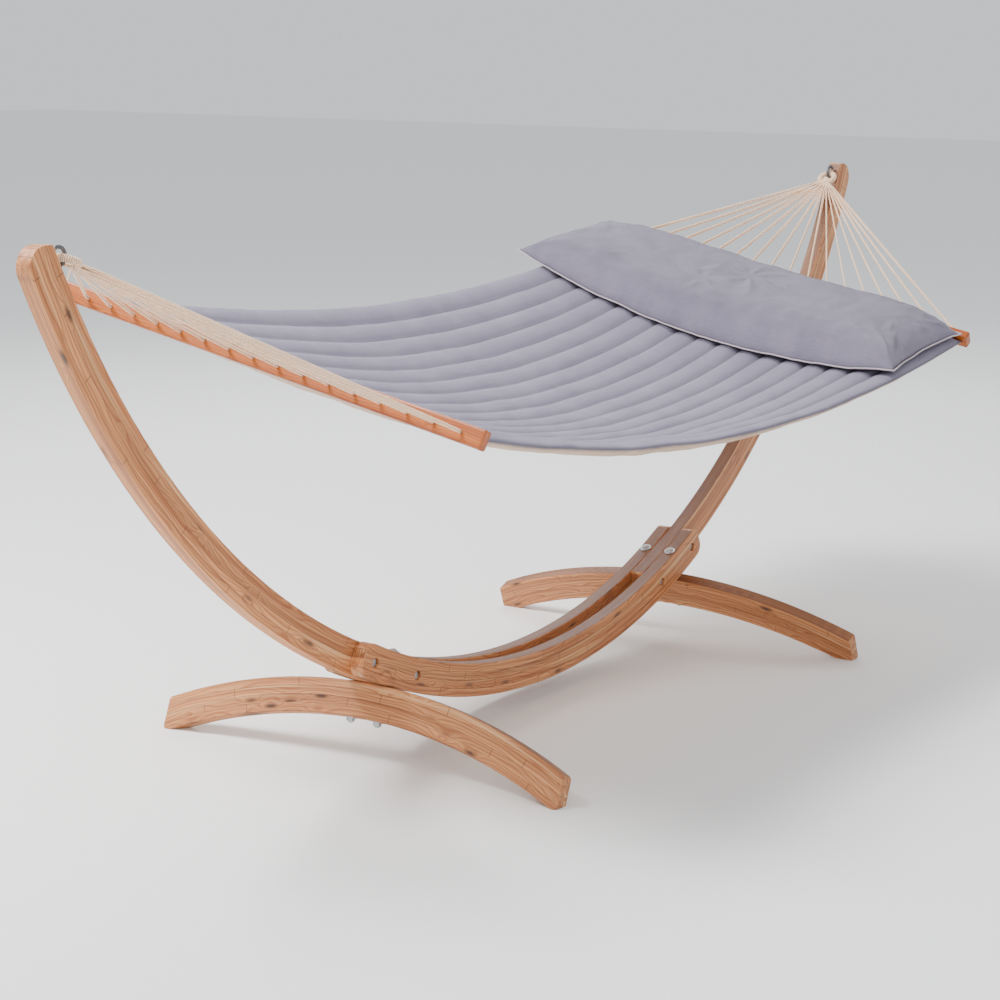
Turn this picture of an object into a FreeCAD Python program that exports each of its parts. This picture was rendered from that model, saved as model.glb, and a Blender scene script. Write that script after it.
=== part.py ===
import FreeCAD, Part
import math
import os
import re
import Sketcher
from FreeCAD import Matrix, Placement, Rotation, Vector

# Hammock on a laminated timber stand. Millimetres, +Z up, origin on the ground under the
# middle of the stand. X runs along the hammock from its foot end (-X) to its head end (+X).
# The stand is two curved rails with a curved arm clamped between them at each end, on two
# arched cross beams. The hammock hangs from a screw hook in each arm and lies tilted to one side.

FOOT, HEAD = -1, 1
NEAR, FAR = -1, 1
END_NAMES = {FOOT: "foot", HEAD: "head"}
SIDE_NAMES = {NEAR: "near", FAR: "far"}

DIMENSIONS = {
    # rails
    "rail_inner_radius": 1745, "rail_depth": 82, "rail_width": 37, "rail_ground_gap": 41,
    "rail_end_angle": 26.5, "rail_end_round": 30, "timber_edge_round": 3,
    # arms
    "arm_inner_radius": 1960, "arm_depth": 80, "arm_width": 39, "arm_tangent_angle": 16,
    "arm_lower_angle": 18.1, "arm_top_height": 1268, "arm_outer_round": 42, "arm_inner_round": 7,
    "arm_lower_round": 6,
    "arm_trim_length": 6000, "arm_trim_width": 600,
    # arched cross beams
    "beam_angle": 22.2, "beam_span": 1120, "beam_depth": 84, "beam_width": 38,
    "beam_ground_bite": 15.5, "beam_taper": 2, "beam_end_round": 12, "beam_seat_gap": 0.1,
    # bolts through rails and arm, and bolts through rail and cross beam
    "bolt_diameter": 10, "bolt_clearance": 0.3, "inner_bolt_angle": 19.2, "outer_bolt_angle": 25,
    "recess_diameter": 24, "recess_depth": 14, "hex_across_flats": 17, "hex_head_height": 6.4,
    "nut_height": 8, "bolt_protrusion": 3, "washer_diameter": 20, "washer_thickness": 2,
    "dome_diameter": 22, "dome_height": 6, "base_washer_diameter": 30, "spot_face_diameter": 32,
    "base_washer_gap": 0.1,
    # hooks
    "hook_wire": 8, "hook_bend_radius": 18, "hook_bend_angle": 205, "hook_shank": 18,
    "hook_embedded": 60, "hook_arm_angle": 64.1, "hook_hole_gap": 0.1,
    # rope eyes and cords
    "eye_radius": 22, "eye_rope_radius": 8.5, "eye_hook_gap": 0.8, "throat_radius": 44,
    "throat_height": 20, "throat_margin_angle": 3.5, "cord_diameter": 4, "cord_row_pitch": 4.6,
    "cord_pair_gap": 0.3, "cord_bend_radius": 12, "cord_mouth_lead": 8, "cord_end_gap": 0.1,
    # spreader bars
    "bar_length": 1200, "bar_height": 42, "bar_thickness": 26, "bar_edge_round": 5,
    "bar_hole_diameter": 9, "bar_end_margin": 56, "bar_hole_count": 17,
    "foot_bar_reach": 1108, "foot_bar_height": 980, "head_bar_reach": 1301, "head_bar_height": 932,
    # bed and pillow
    "tilt_angle": 11.2, "yaw_angle": -1.2, "tilt_height": 1097.6, "side_shift": -49,
    "bed_side_margin": 15, "bed_thickness": 25, "bed_sag": 125, "bed_trough": 125, "bed_hem_gap": 0.3,
    "pillow_length": 1240, "pillow_width": 410, "pillow_thickness": 148, "pillow_bed_gap": 0.7,
    "pillow_bar_gap": 3, "pillow_edge_thickness": 34, "pillow_shift": 30,
}

doc = FreeCAD.newDocument("HammockStand")
sheet = doc.addObject("Spreadsheet::Sheet", "Dimensions")
for row, (alias, number) in enumerate(DIMENSIONS.items(), start=1):
    sheet.set(f"A{row}", alias)
    sheet.set(f"B{row}", str(number))
    sheet.setAlias(f"B{row}", alias)
doc.recompute()

nodes = []
SHEET_NAMES = {alias: "Dimensions." + alias for alias in DIMENSIONS}


def value(alias):
    """A driving dimension, read back from the sheet."""
    return float(sheet.get(alias))


def bind(feature, **expressions):
    """Ties properties to the sheet: Radius="rail_depth / 2" reads Dimensions.rail_depth."""
    for path, expression in expressions.items():
        feature.setExpression(path.replace("__", "."), with_sheet(expression))


def with_sheet(expression):
    """Puts the sheet's name in front of every alias in an expression."""
    return re.sub("[a-z_]+", lambda word: SHEET_NAMES.get(word.group(), word.group()), expression)


def finish_node(feature, label):
    """Gives a finished sub-part its node name."""
    feature.Label = label
    nodes.append(feature)
    return feature


# ---------------------------------------------------------------- sketches and bodies

def new_sketch(body, name, role):
    """A sketch on one of the body's own origin planes."""
    sketch = body.newObject("Sketcher::SketchObject", name)
    plane = next(item for item in body.Origin.OriginFeatures if item.Role == role)
    sketch.AttachmentSupport = [(plane, "")]
    sketch.MapMode = "FlatFace"
    return sketch


def add_datum(sketch, constraint, name, expression):
    """Adds a dimension to a sketch and ties it to the sheet."""
    index = sketch.addConstraint(constraint)
    sketch.renameConstraint(index, name)
    sketch.setExpression("Constraints." + name, with_sheet(expression))


def add_rectangle(sketch, wide, high, below=None):
    """Four lines about the sketch's vertical axis; each size is the name of a dimension.

    The rectangle is centred on the origin, or hangs at the distance below it that is given."""
    half = value(wide) / 2
    top = value(high) / 2 if below is None else -value(below)
    bottom = top - value(high)
    corners = [Vector(-half, bottom), Vector(half, bottom), Vector(half, top), Vector(-half, top)]
    for first, second in zip(corners, corners[1:] + corners[:1]):
        sketch.addGeometry(Part.LineSegment(first, second), False)
    for line in range(4):
        sketch.addConstraint(Sketcher.Constraint("Coincident", line, 2, (line + 1) % 4, 1))
    for line, kind in ((1, "Vertical"), (2, "Horizontal"), (3, "Vertical")):
        sketch.addConstraint(Sketcher.Constraint(kind, line))
    add_datum(sketch, Sketcher.Constraint("DistanceX", 0, 1, 0, 2, 2 * half), "wide", wide)
    add_datum(sketch, Sketcher.Constraint("DistanceY", 1, 1, 1, 2, value(high)), "high", high)
    if below is None:
        sketch.addConstraint(Sketcher.Constraint("Horizontal", 0))
        sketch.addConstraint(Sketcher.Constraint("Symmetric", 0, 1, 1, 2, -1, 1))
    else:
        sketch.addConstraint(Sketcher.Constraint("Symmetric", 0, 1, 0, 2, -2))
        add_datum(sketch, Sketcher.Constraint("DistanceY", 1, 2, -1, 1, -top), "below", below)


def add_circle(sketch, name, centre, diameter, expressions):
    """A circle placed from the sketch's origin; expressions are (x, y, diameter), all positive."""
    index = sketch.addGeometry(Part.Circle(centre, Vector(0, 0, 1), diameter / 2), False)
    for axis, offset, expression in (("X", centre.x, expressions[0]), ("Y", centre.y, expressions[1])):
        ends = (-1, 1, index, 3) if offset >= 0 else (index, 3, -1, 1)
        constraint = Sketcher.Constraint("Distance" + axis, *ends, abs(offset))
        add_datum(sketch, constraint, name + axis, expression)
    add_datum(sketch, Sketcher.Constraint("Diameter", index, diameter), name + "Size", expressions[2])


def add_centred_circle(sketch, diameter, expression):
    """A circle about the sketch's own origin."""
    sketch.addGeometry(Part.Circle(Vector(0, 0, 0), Vector(0, 0, 1), diameter / 2), False)
    sketch.addConstraint(Sketcher.Constraint("Coincident", 0, 3, -1, 1))
    add_datum(sketch, Sketcher.Constraint("Diameter", 0, diameter), "size", expression)


def add_pocket(body, sketch, name, length=None, both_ways=False, along_normal=False):
    """Cuts a sketch through everything, or to a length, and checks that material went away."""
    doc.recompute()
    before = body.Shape.Volume
    pocket = body.newObject("PartDesign::Pocket", name)
    pocket.Profile = sketch
    pocket.Type = "Length" if length else "ThroughAll"
    pocket.SideType = "Symmetric" if both_ways else "One side"
    pocket.Reversed = along_normal
    if length:
        bind(pocket, Length=length)
    doc.recompute()
    if not body.Shape.Volume < before - 1:
        raise RuntimeError(name + " cuts nothing")
    return pocket


def add_fillet(body, name, radius, test):
    """Rounds the edges of the body for which the test of the edge holds."""
    doc.recompute()
    edges = body.Shape.Edges
    names = [f"Edge{index}" for index, edge in enumerate(edges, start=1) if test(edge)]
    base = body.Tip
    fillet = body.newObject("PartDesign::Fillet", name)
    fillet.Base = (base, names)
    bind(fillet, Radius=radius)
    doc.recompute()
    return fillet


def along_y(edge):
    ends = [vertex.Point for vertex in edge.Vertexes]
    return len(ends) == 2 and abs(ends[0].x - ends[1].x) + abs(ends[0].z - ends[1].z) < 0.01


def across_y(edge):
    """Edges of the two side faces, which stand square to Y."""
    ys = [vertex.Point.y for vertex in edge.Vertexes]
    return max(ys) - min(ys) < 0.01


def polar(centre, radius, degrees):
    """A point of the XZ plane, by its angle from straight down towards +X."""
    angle = math.radians(degrees)
    return centre + Vector(radius * math.sin(angle), 0, -radius * math.cos(angle))


def curved_beam(name, centre, start, end, radius, depth, width):
    """A timber of rectangular section bent round an axis parallel to Y, between two angles."""
    body = doc.addObject("PartDesign::Body", name)
    section = new_sketch(body, name + "_section", "YZ_Plane")
    middle = (start + end) / 2
    section.AttachmentOffset = Placement(Vector(0, centre.z, centre.x), Rotation(Vector(1, 0, 0), -middle))
    add_rectangle(section, width, depth, below=radius)
    doc.recompute()
    bend = body.newObject("PartDesign::Revolution", name + "_bend")
    bend.Profile = section
    bend.ReferenceAxis = (section, ["H_Axis"])
    bend.Midplane = True
    bend.Angle = end - start
    doc.recompute()
    return body


# ---------------------------------------------------------------- the stand's two arcs

RAIL_CENTRE = Vector(0, 0, value("rail_ground_gap") + value("rail_inner_radius") + value("rail_depth"))
BOLT_RADIUS = value("rail_inner_radius") + value("rail_depth") / 2
BOLT_ANGLES = ("inner_bolt_angle", "outer_bolt_angle")
RAIL_OFFSET = "( arm_width + rail_width ) / 2"
SIDE_STEP = (value("arm_width") + value("rail_width")) / 2


def arm_centre(end):
    """The arm's arc touches the rails' inner arc at the tangent angle."""
    step = value("rail_inner_radius") - value("arm_inner_radius")
    return polar(RAIL_CENTRE, step, end * value("arm_tangent_angle"))


def bolt_circles(sketch, size, diameter, ends):
    """Circles on the rails' middle line, at both bolt angles of each end given."""
    middle = "rail_inner_radius + rail_depth / 2"
    height = "rail_ground_gap + rail_depth + rail_inner_radius - ( " + middle + " ) * cos( {} )"
    for end in ends:
        for alias in BOLT_ANGLES:
            centre = polar(RAIL_CENTRE, BOLT_RADIUS, end * value(alias))
            across = "( " + middle + " ) * sin( " + alias + " )"
            name = END_NAMES[end] + alias.split("_")[0]
            add_circle(sketch, name, Vector(centre.x, centre.z), size, (across, height.format(alias), diameter))


def radial_sketch(body, name, point, end, angle):
    """A sketch square to the beam's arc, whose normal points at the arc's centre."""
    sketch = new_sketch(body, name, "XY_Plane")
    sketch.AttachmentOffset = Placement(point, Rotation(Vector(0, 1, 0), -end * angle))
    return sketch


BOLT_HOLE = "bolt_diameter + 2 * bolt_clearance"
BOLT_HOLE_SIZE = value("bolt_diameter") + 2 * value("bolt_clearance")


def make_rail(side):
    """A full-length curved rail with recessed cross bolts and the two holes of the cross beams."""
    name = SIDE_NAMES[side] + "_rail"
    end_angle = value("rail_end_angle")
    body = curved_beam(name, RAIL_CENTRE, -end_angle, end_angle, "rail_inner_radius", "rail_depth", "rail_width")
    add_fillet(body, name + "_ends", "rail_end_round", along_y)
    add_fillet(body, name + "_edges", "timber_edge_round", across_y)
    holes = new_sketch(body, name + "_bolt_holes", "XZ_Plane")
    bolt_circles(holes, BOLT_HOLE_SIZE, BOLT_HOLE, (FOOT, HEAD))
    add_pocket(body, holes, name + "_bolt_cut", both_ways=True)
    recess = new_sketch(body, name + "_recesses", "XZ_Plane")
    bolt_circles(recess, value("recess_diameter"), "recess_diameter", (FOOT, HEAD))
    # The sketch's normal is -Y, so a near rail's recess floor lies at a positive offset.
    sign = " - " if side == FAR else ""
    recess.setExpression("AttachmentOffset.Base.z", with_sheet(sign + "( rail_width / 2 - recess_depth )"))
    add_pocket(body, recess, name + "_recess_cut", along_normal=(side == NEAR))
    for end in (FOOT, HEAD):
        angle = value("beam_angle")
        point = polar(RAIL_CENTRE, BOLT_RADIUS, end * angle)
        hole = radial_sketch(body, name + "_" + END_NAMES[end] + "_beam_hole", point, end, angle)
        add_centred_circle(hole, BOLT_HOLE_SIZE, BOLT_HOLE)
        add_pocket(body, hole, name + "_" + END_NAMES[end] + "_beam_cut", both_ways=True)
    body.setExpression("Placement.Base.y", with_sheet(str(side) + " * " + RAIL_OFFSET))
    return finish_node(body, name)


def make_arm(end):
    """A curved arm, cut level at its top, with its bolt holes and the blind hole of its hook."""
    name = END_NAMES[end] + "_arm"
    centre = arm_centre(end)
    lower = polar(RAIL_CENTRE, BOLT_RADIUS, end * value("arm_lower_angle")) - centre
    lower_angle = math.degrees(math.atan2(lower.x, -lower.z))
    outer = value("arm_inner_radius") + value("arm_depth")
    rise = centre.z - value("arm_top_height")
    trim_margin = 1.0
    upper_angle = end * (math.degrees(math.acos(rise / outer)) + trim_margin)
    start, stop = sorted((lower_angle, upper_angle))
    body = curved_beam(name, centre, start, stop, "arm_inner_radius", "arm_depth", "arm_width")
    top = new_sketch(body, name + "_top", "XY_Plane")
    top.setExpression("AttachmentOffset.Base.z", with_sheet("arm_top_height"))
    add_rectangle(top, "arm_trim_length", "arm_trim_width")
    add_pocket(body, top, name + "_top_cut", along_normal=True)
    corners = [edge.Vertexes[0].Point for edge in body.Shape.Edges if along_y(edge)]
    corners.sort(key=lambda point: (round(point.z), abs(point.x)))
    inner_top, outer_top = corners[-2:]

    def at_corner(edge, corner):
        point = edge.Vertexes[0].Point
        return along_y(edge) and abs(point.x - corner.x) + abs(point.z - corner.z) < 0.01

    for corner in corners[:-2]:
        add_fillet(body, name + "_lower_round", "arm_lower_round", lambda edge: at_corner(edge, corner))
    add_fillet(body, name + "_outer_round", "arm_outer_round", lambda edge: at_corner(edge, outer_top))
    add_fillet(body, name + "_inner_round", "arm_inner_round", lambda edge: at_corner(edge, inner_top))
    add_fillet(body, name + "_edges", "timber_edge_round", across_y)
    holes = new_sketch(body, name + "_bolt_holes", "XZ_Plane")
    bolt_circles(holes, BOLT_HOLE_SIZE, BOLT_HOLE, (end,))
    add_pocket(body, holes, name + "_bolt_cut", both_ways=True)
    hook_angle = value("hook_arm_angle")
    point = polar(centre, value("arm_inner_radius"), end * hook_angle)
    hook_hole = radial_sketch(body, name + "_hook_hole", point, end, hook_angle)
    add_centred_circle(hook_hole, value("hook_wire") + 2 * value("hook_hole_gap"), "hook_wire + 2 * hook_hole_gap")
    add_pocket(body, hook_hole, name + "_hook_cut", length="hook_embedded + hook_hole_gap")
    return finish_node(body, name)


def beam_placement(end):
    """Seat of a cross beam: square to the rails' outer arc, its top centre at the origin."""
    seat = BOLT_RADIUS + value("rail_depth") / 2 + value("beam_seat_gap")
    point = polar(RAIL_CENTRE, seat, end * value("beam_angle"))
    return Placement(point, Rotation(Vector(0, 1, 0), -end * value("beam_angle")))


def make_cross_beam(end):
    """An arched cross beam, drilled for the two rail bolts and cut level where it stands."""
    name = END_NAMES[end] + "_cross_beam"
    seat = beam_placement(end)
    half, depth = value("beam_span") / 2, value("beam_depth")
    slope = math.cos(math.radians(value("beam_angle")))
    low_drop = (seat.Base.z + value("beam_ground_bite")) / slope - depth
    top_drop = low_drop - value("beam_taper")
    body = doc.addObject("PartDesign::Body", name + "_arch")
    arch = new_sketch(body, name + "_outline", "YZ_Plane")
    for drop, level in ((top_drop, 0), (low_drop, depth)):
        arc = Part.Arc(Vector(half, -level - drop), Vector(0, -level), Vector(-half, -level - drop))
        arch.addGeometry(arc, False)
    for y in (half, -half):
        arch.addGeometry(Part.LineSegment(Vector(y, -top_drop), Vector(y, -depth - low_drop)), False)
    for line, arc_end in ((2, 1), (3, 2)):
        arch.addConstraint(Sketcher.Constraint("Coincident", line, 1, 0, arc_end))
        arch.addConstraint(Sketcher.Constraint("Coincident", line, 2, 1, arc_end))
        arch.addConstraint(Sketcher.Constraint("Vertical", line))
    arch.addConstraint(Sketcher.Constraint("PointOnObject", 0, 3, -2))
    arch.addConstraint(Sketcher.Constraint("PointOnObject", 1, 3, -2))
    top_radius = (half ** 2 + top_drop ** 2) / (2 * top_drop)
    low_radius = (half ** 2 + low_drop ** 2) / (2 * low_drop)
    arch.addConstraint(Sketcher.Constraint("Radius", 0, top_radius))
    arch.addConstraint(Sketcher.Constraint("Radius", 1, low_radius))
    arch.addConstraint(Sketcher.Constraint("DistanceY", 0, 3, -1, 1, top_radius))
    arch.addConstraint(Sketcher.Constraint("DistanceY", 1, 3, -1, 1, low_radius + depth))
    add_datum(arch, Sketcher.Constraint("DistanceX", 3, 1, 2, 1, 2 * half), "span", "beam_span")
    doc.recompute()
    pad = body.newObject("PartDesign::Pad", name + "_pad")
    pad.Profile = arch
    pad.SideType = "Symmetric"
    bind(pad, Length="beam_width")
    doc.recompute()

    def end_corner(edge):
        xs = [vertex.Point.x for vertex in edge.Vertexes]
        return max(xs) - min(xs) > 1 and abs(edge.Vertexes[0].Point.y) > half - 1

    add_fillet(body, name + "_corners", "beam_end_round", end_corner)
    add_fillet(body, name + "_edges", "timber_edge_round",
               lambda edge: abs(edge.Vertexes[0].Point.x - edge.Vertexes[-1].Point.x) < 0.01)
    holes = new_sketch(body, name + "_holes", "XY_Plane")
    for side in (NEAR, FAR):
        index = holes.addGeometry(Part.Circle(Vector(0, side * SIDE_STEP), Vector(0, 0, 1), BOLT_HOLE_SIZE / 2), False)
        ends = (-1, 1, index, 3) if side == FAR else (index, 3, -1, 1)
        holes.addConstraint(Sketcher.Constraint("PointOnObject", index, 3, -2))
        add_datum(holes, Sketcher.Constraint("DistanceY", *ends, SIDE_STEP), SIDE_NAMES[side] + "Y", RAIL_OFFSET)
        add_datum(holes, Sketcher.Constraint("Diameter", index, BOLT_HOLE_SIZE), SIDE_NAMES[side] + "Size", BOLT_HOLE)
    add_pocket(body, holes, name + "_drilling")
    # Spot faces square to the bolts, for the washers under the arch.
    spots = new_sketch(body, name + "_spot_faces", "XY_Plane")
    spots.setExpression("AttachmentOffset.Base.z", with_sheet("-beam_depth"))
    for side in (NEAR, FAR):
        index = spots.addGeometry(Part.Circle(Vector(0, side * SIDE_STEP), Vector(0, 0, 1),
                                              value("spot_face_diameter") / 2), False)
        ends = (-1, 1, index, 3) if side == FAR else (index, 3, -1, 1)
        spots.addConstraint(Sketcher.Constraint("PointOnObject", index, 3, -2))
        add_datum(spots, Sketcher.Constraint("DistanceY", *ends, SIDE_STEP), SIDE_NAMES[side] + "Y", RAIL_OFFSET)
        add_datum(spots, Sketcher.Constraint("Diameter", index, value("spot_face_diameter")),
                  SIDE_NAMES[side] + "Size", "spot_face_diameter")
    add_pocket(body, spots, name + "_spot_cut")
    body.Placement = seat
    ground = doc.addObject("Part::Box", name + "_ground")
    bind(ground, Length="beam_span", Width="2 * beam_span", Height="beam_span")
    doc.recompute()
    ground.Placement = Placement(Vector(seat.Base.x - value("beam_span") / 2, -value("beam_span"),
                                        -value("beam_span")), Rotation())
    beam = doc.addObject("Part::Cut", name)
    beam.Base, beam.Tool = body, ground
    return finish_node(beam, name)


# ---------------------------------------------------------------- fasteners

def axis_placement(point, direction):
    """Puts a primitive's own Z axis along a direction."""
    return Placement(point, Rotation(Vector(0, 0, 1), direction))


def cylinder(name, radius, height, placement):
    item = doc.addObject("Part::Cylinder", name)
    bind(item, Radius=radius, Height=height)
    item.Placement = placement
    return item


def hexagon(name, height, placement):
    item = doc.addObject("Part::Prism", name)
    item.Polygon = 6
    bind(item, Circumradius="hex_across_flats / ( 2 * cos( 30 ) )", Height=height)
    item.Placement = placement
    return item


def fuse(name, pieces):
    item = doc.addObject("Part::MultiFuse", name)
    item.Shapes = pieces
    return item


def cut(name, base, tool):
    item = doc.addObject("Part::Cut", name)
    item.Base, item.Tool = base, tool
    return item


def group(label, pieces):
    item = doc.addObject("Part::Compound", label)
    item.Links = pieces
    return finish_node(item, label)


def ring(name, outer, inner, height, placement):
    """A washer, or any other round disc with a hole."""
    disc = cylinder(name + "_disc", outer, height, placement)
    return cut(name, disc, cylinder(name + "_hole", inner, height, placement))


def nut(name, placement):
    block = hexagon(name + "_block", "nut_height", placement)
    return cut(name, block, cylinder(name + "_hole", "bolt_diameter / 2", "nut_height", placement))


def make_joint_fasteners(end):
    """Bolts along Y through near rail, arm and far rail, their heads in the near rail."""
    bolts, washers, nuts = [], [], []
    floor = SIDE_STEP + value("rail_width") / 2 - value("recess_depth")
    washer, head = value("washer_thickness"), value("hex_head_height")
    for alias in BOLT_ANGLES:
        name = END_NAMES[end] + "_" + alias.replace("_angle", "")
        base = polar(RAIL_CENTRE, BOLT_RADIUS, end * value(alias))
        turn = Rotation(Vector(0, 0, 1), Vector(0, 1, 0))
        under_head = base + Vector(0, -floor - washer, 0)
        shank = cylinder(name + "_shank", "bolt_diameter / 2",
                         "arm_width + 2 * ( rail_width - recess_depth ) + 2 * washer_thickness"
                         " + nut_height + bolt_protrusion", Placement(under_head, turn))
        cap = hexagon(name + "_head", "hex_head_height", Placement(under_head - Vector(0, head, 0), turn))
        bolts.append(fuse(name, [shank, cap]))
        for side, y in ((NEAR, -floor - washer), (FAR, floor)):
            washers.append(ring(name + "_washer_" + SIDE_NAMES[side], "washer_diameter / 2", "bolt_diameter / 2",
                                "washer_thickness", Placement(base + Vector(0, y, 0), turn)))
        nuts.append(nut(name + "_nut", Placement(base + Vector(0, floor + washer, 0), turn)))
    group(END_NAMES[end] + "_joint_bolts", bolts)
    group(END_NAMES[end] + "_joint_washers", washers)
    group(END_NAMES[end] + "_joint_nuts", nuts)


def make_base_fasteners(end):
    """Dome-headed bolts from the top of each rail down through the cross beam."""
    bolts, tops, lows, nuts = [], [], [], []
    angle = end * value("beam_angle")
    outward = polar(Vector(), 1, angle)
    washer = value("washer_thickness")
    inner = value("rail_inner_radius") - value("base_washer_gap") - washer
    outer = value("rail_inner_radius") + value("rail_depth") + value("beam_seat_gap") + value("beam_depth")
    seat_gap = value("base_washer_gap")
    grip = outer + seat_gap + washer + value("nut_height") + value("bolt_protrusion") - inner
    for side in (NEAR, FAR):
        name = END_NAMES[end] + "_" + SIDE_NAMES[side] + "_base"
        step = Vector(0, side * SIDE_STEP, 0)
        top = polar(RAIL_CENTRE, inner, angle) + step
        low = polar(RAIL_CENTRE, outer + seat_gap, angle) + step
        shank = doc.addObject("Part::Cylinder", name + "_shank")
        bind(shank, Radius="bolt_diameter / 2")
        shank.Height = grip
        shank.Placement = axis_placement(top, outward)
        dome = doc.addObject("Part::Sphere", name + "_dome")
        bind(dome, Radius="( dome_diameter ^ 2 / 4 + dome_height ^ 2 ) / ( 2 * dome_height )")
        radius = (value("dome_diameter") ** 2 / 4 + value("dome_height") ** 2) / (2 * value("dome_height"))
        flat = radius - value("dome_height")
        dome.Angle1 = math.degrees(math.asin(flat / radius))
        dome.Placement = axis_placement(top + outward * flat, -outward)
        bolts.append(fuse(name + "_bolt", [shank, dome]))
        tops.append(ring(name + "_top_washer", "base_washer_diameter / 2", "bolt_diameter / 2",
                         "washer_thickness", axis_placement(top, outward)))
        lows.append(ring(name + "_low_washer", "base_washer_diameter / 2", "bolt_diameter / 2",
                         "washer_thickness", axis_placement(low, outward)))
        nuts.append(nut(name + "_nut", axis_placement(low + outward * washer, outward)))
    group(END_NAMES[end] + "_base_bolts", bolts)
    group(END_NAMES[end] + "_base_top_washers", tops)
    group(END_NAMES[end] + "_base_lower_washers", lows)
    group(END_NAMES[end] + "_base_nuts", nuts)


# ---------------------------------------------------------------- hooks, eyes and cords

TILT = math.radians(value("tilt_angle"))
YAW = Rotation(Vector(0, 0, 1), value("yaw_angle"))
ACROSS = YAW.multVec(Vector(0, math.cos(TILT), math.sin(TILT)))
HOLE_ROW = "bar_length - 2 * bar_end_margin"


def hammock_point(x, y, z):
    """A point of the level hammock, moved to where the tilted hammock hangs."""
    rise = z - value("tilt_height")
    tilted = Vector(x, value("side_shift") + y * math.cos(TILT) - rise * math.sin(TILT),
                    value("tilt_height") + y * math.sin(TILT) + rise * math.cos(TILT))
    return YAW.multVec(tilted)


def bar_centre(end):
    name = END_NAMES[end]
    return hammock_point(end * value(name + "_bar_reach"), 0, value(name + "_bar_height"))


def frame_placement(origin, x_axis, y_axis):
    """A placement from its origin and the directions of its own X and Y."""
    z_axis = x_axis.cross(y_axis)
    columns = (x_axis, y_axis, z_axis, origin)
    rows = [(c.x, c.y, c.z) for c in columns]
    numbers = []
    for axis in range(3):
        numbers += [row[axis] for row in rows]
    return Placement(Matrix(*numbers, 0, 0, 0, 1))


class HangingEnd:
    """Where one end of the hammock hangs: hook, rope eye, fan of cords and spreader bar."""

    def __init__(self, end):
        self.end = end
        angle = end * value("hook_arm_angle")
        self.face = polar(arm_centre(end), value("arm_inner_radius"), angle)
        self.normal = -polar(Vector(), 1, angle)
        self.rise = Vector(-self.normal.z * -end, 0, self.normal.x * -end)
        shank_end = self.face + self.normal * value("hook_shank")
        self.hook_centre = shank_end + self.rise * value("hook_bend_radius")
        self.bar = bar_centre(end)
        self.pull = (self.bar - self.hook_centre).normalize()
        slack = value("hook_bend_radius") - value("hook_wire") / 2 - value("eye_rope_radius") - value("eye_hook_gap")
        # The eye hangs in the hook's own plane, so it clears the wire on both sides of its swing.
        self.hang = Vector(self.pull.x, 0, self.pull.z).normalize()
        self.bight = self.hook_centre + self.hang * slack
        self.apex = self.bight + self.pull * (2 * value("eye_radius") - value("eye_rope_radius"))
        self.fan_normal = self.pull.cross(ACROSS).normalize()
        if self.fan_normal.z < 0:
            self.fan_normal = -self.fan_normal
        self.thickness = ACROSS.cross(self.fan_normal).normalize()
        if self.thickness.dot(self.pull) < 0:
            self.thickness = -self.thickness

    def fan_angle(self, point):
        """Angle of a point about the apex, from the bar's thickness direction."""
        away = point - self.apex
        return math.degrees(math.atan2(away.dot(ACROSS), away.dot(self.thickness)))

    def holes(self):
        count = int(value("bar_hole_count"))
        row = value("bar_length") - 2 * value("bar_end_margin")
        return [self.bar + ACROSS * row * (index / (count - 1) - 1 / 2) for index in range(count)]


def make_hook(place):
    """A screw hook: its shank in the arm, its bend open at the top."""
    name = END_NAMES[place.end] + "_hook"
    start = place.face - place.normal * value("hook_embedded")
    shank = cylinder(name + "_shank", "hook_wire / 2", "hook_embedded + hook_shank",
                     axis_placement(start, place.normal))
    bend = doc.addObject("Part::Torus", name + "_bend")
    bind(bend, Radius1="hook_bend_radius", Radius2="hook_wire / 2", Angle3="hook_bend_angle")
    bend.Placement = frame_placement(place.hook_centre, -place.rise, place.normal)
    tip = doc.addObject("Part::Sphere", name + "_tip")
    bind(tip, Radius="hook_wire / 2")
    turn = math.radians(value("hook_bend_angle"))
    arm = place.normal * math.sin(turn) - place.rise * math.cos(turn)
    tip.Placement = Placement(place.hook_centre + arm * value("hook_bend_radius"), Rotation())
    return finish_node(fuse(name, [shank, bend, tip]), name)


def make_rope_eye(place):
    """A bound rope eye over the hook, with the throat that the cords fan out of."""
    name = END_NAMES[place.end] + "_rope_eye"
    loop = doc.addObject("Part::Torus", name + "_loop")
    bind(loop, Radius1="eye_radius", Radius2="eye_rope_radius")
    loop.Placement = frame_placement(place.bight + place.hang * value("eye_radius"), place.hang, Vector(0, 1, 0))
    angles = [place.fan_angle(hole - place.thickness * value("bar_thickness") / 2) for hole in place.holes()]
    margin = value("throat_margin_angle")
    low, high = min(angles) - margin, max(angles) + margin
    throat = doc.addObject("Part::Cylinder", name + "_throat")
    bind(throat, Radius="throat_radius", Height="throat_height")
    throat.Angle = high - low
    turn = math.radians(low)
    first = place.thickness * math.cos(turn) + ACROSS * math.sin(turn)
    second = ACROSS * math.cos(turn) - place.thickness * math.sin(turn)
    placed = frame_placement(place.apex, first, second)
    axis = placed.Rotation.multVec(Vector(0, 0, 1))
    placed.Base = place.apex - axis * value("throat_height") / 2
    throat.Placement = placed
    return finish_node(fuse(name, [loop, throat]), name)


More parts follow.
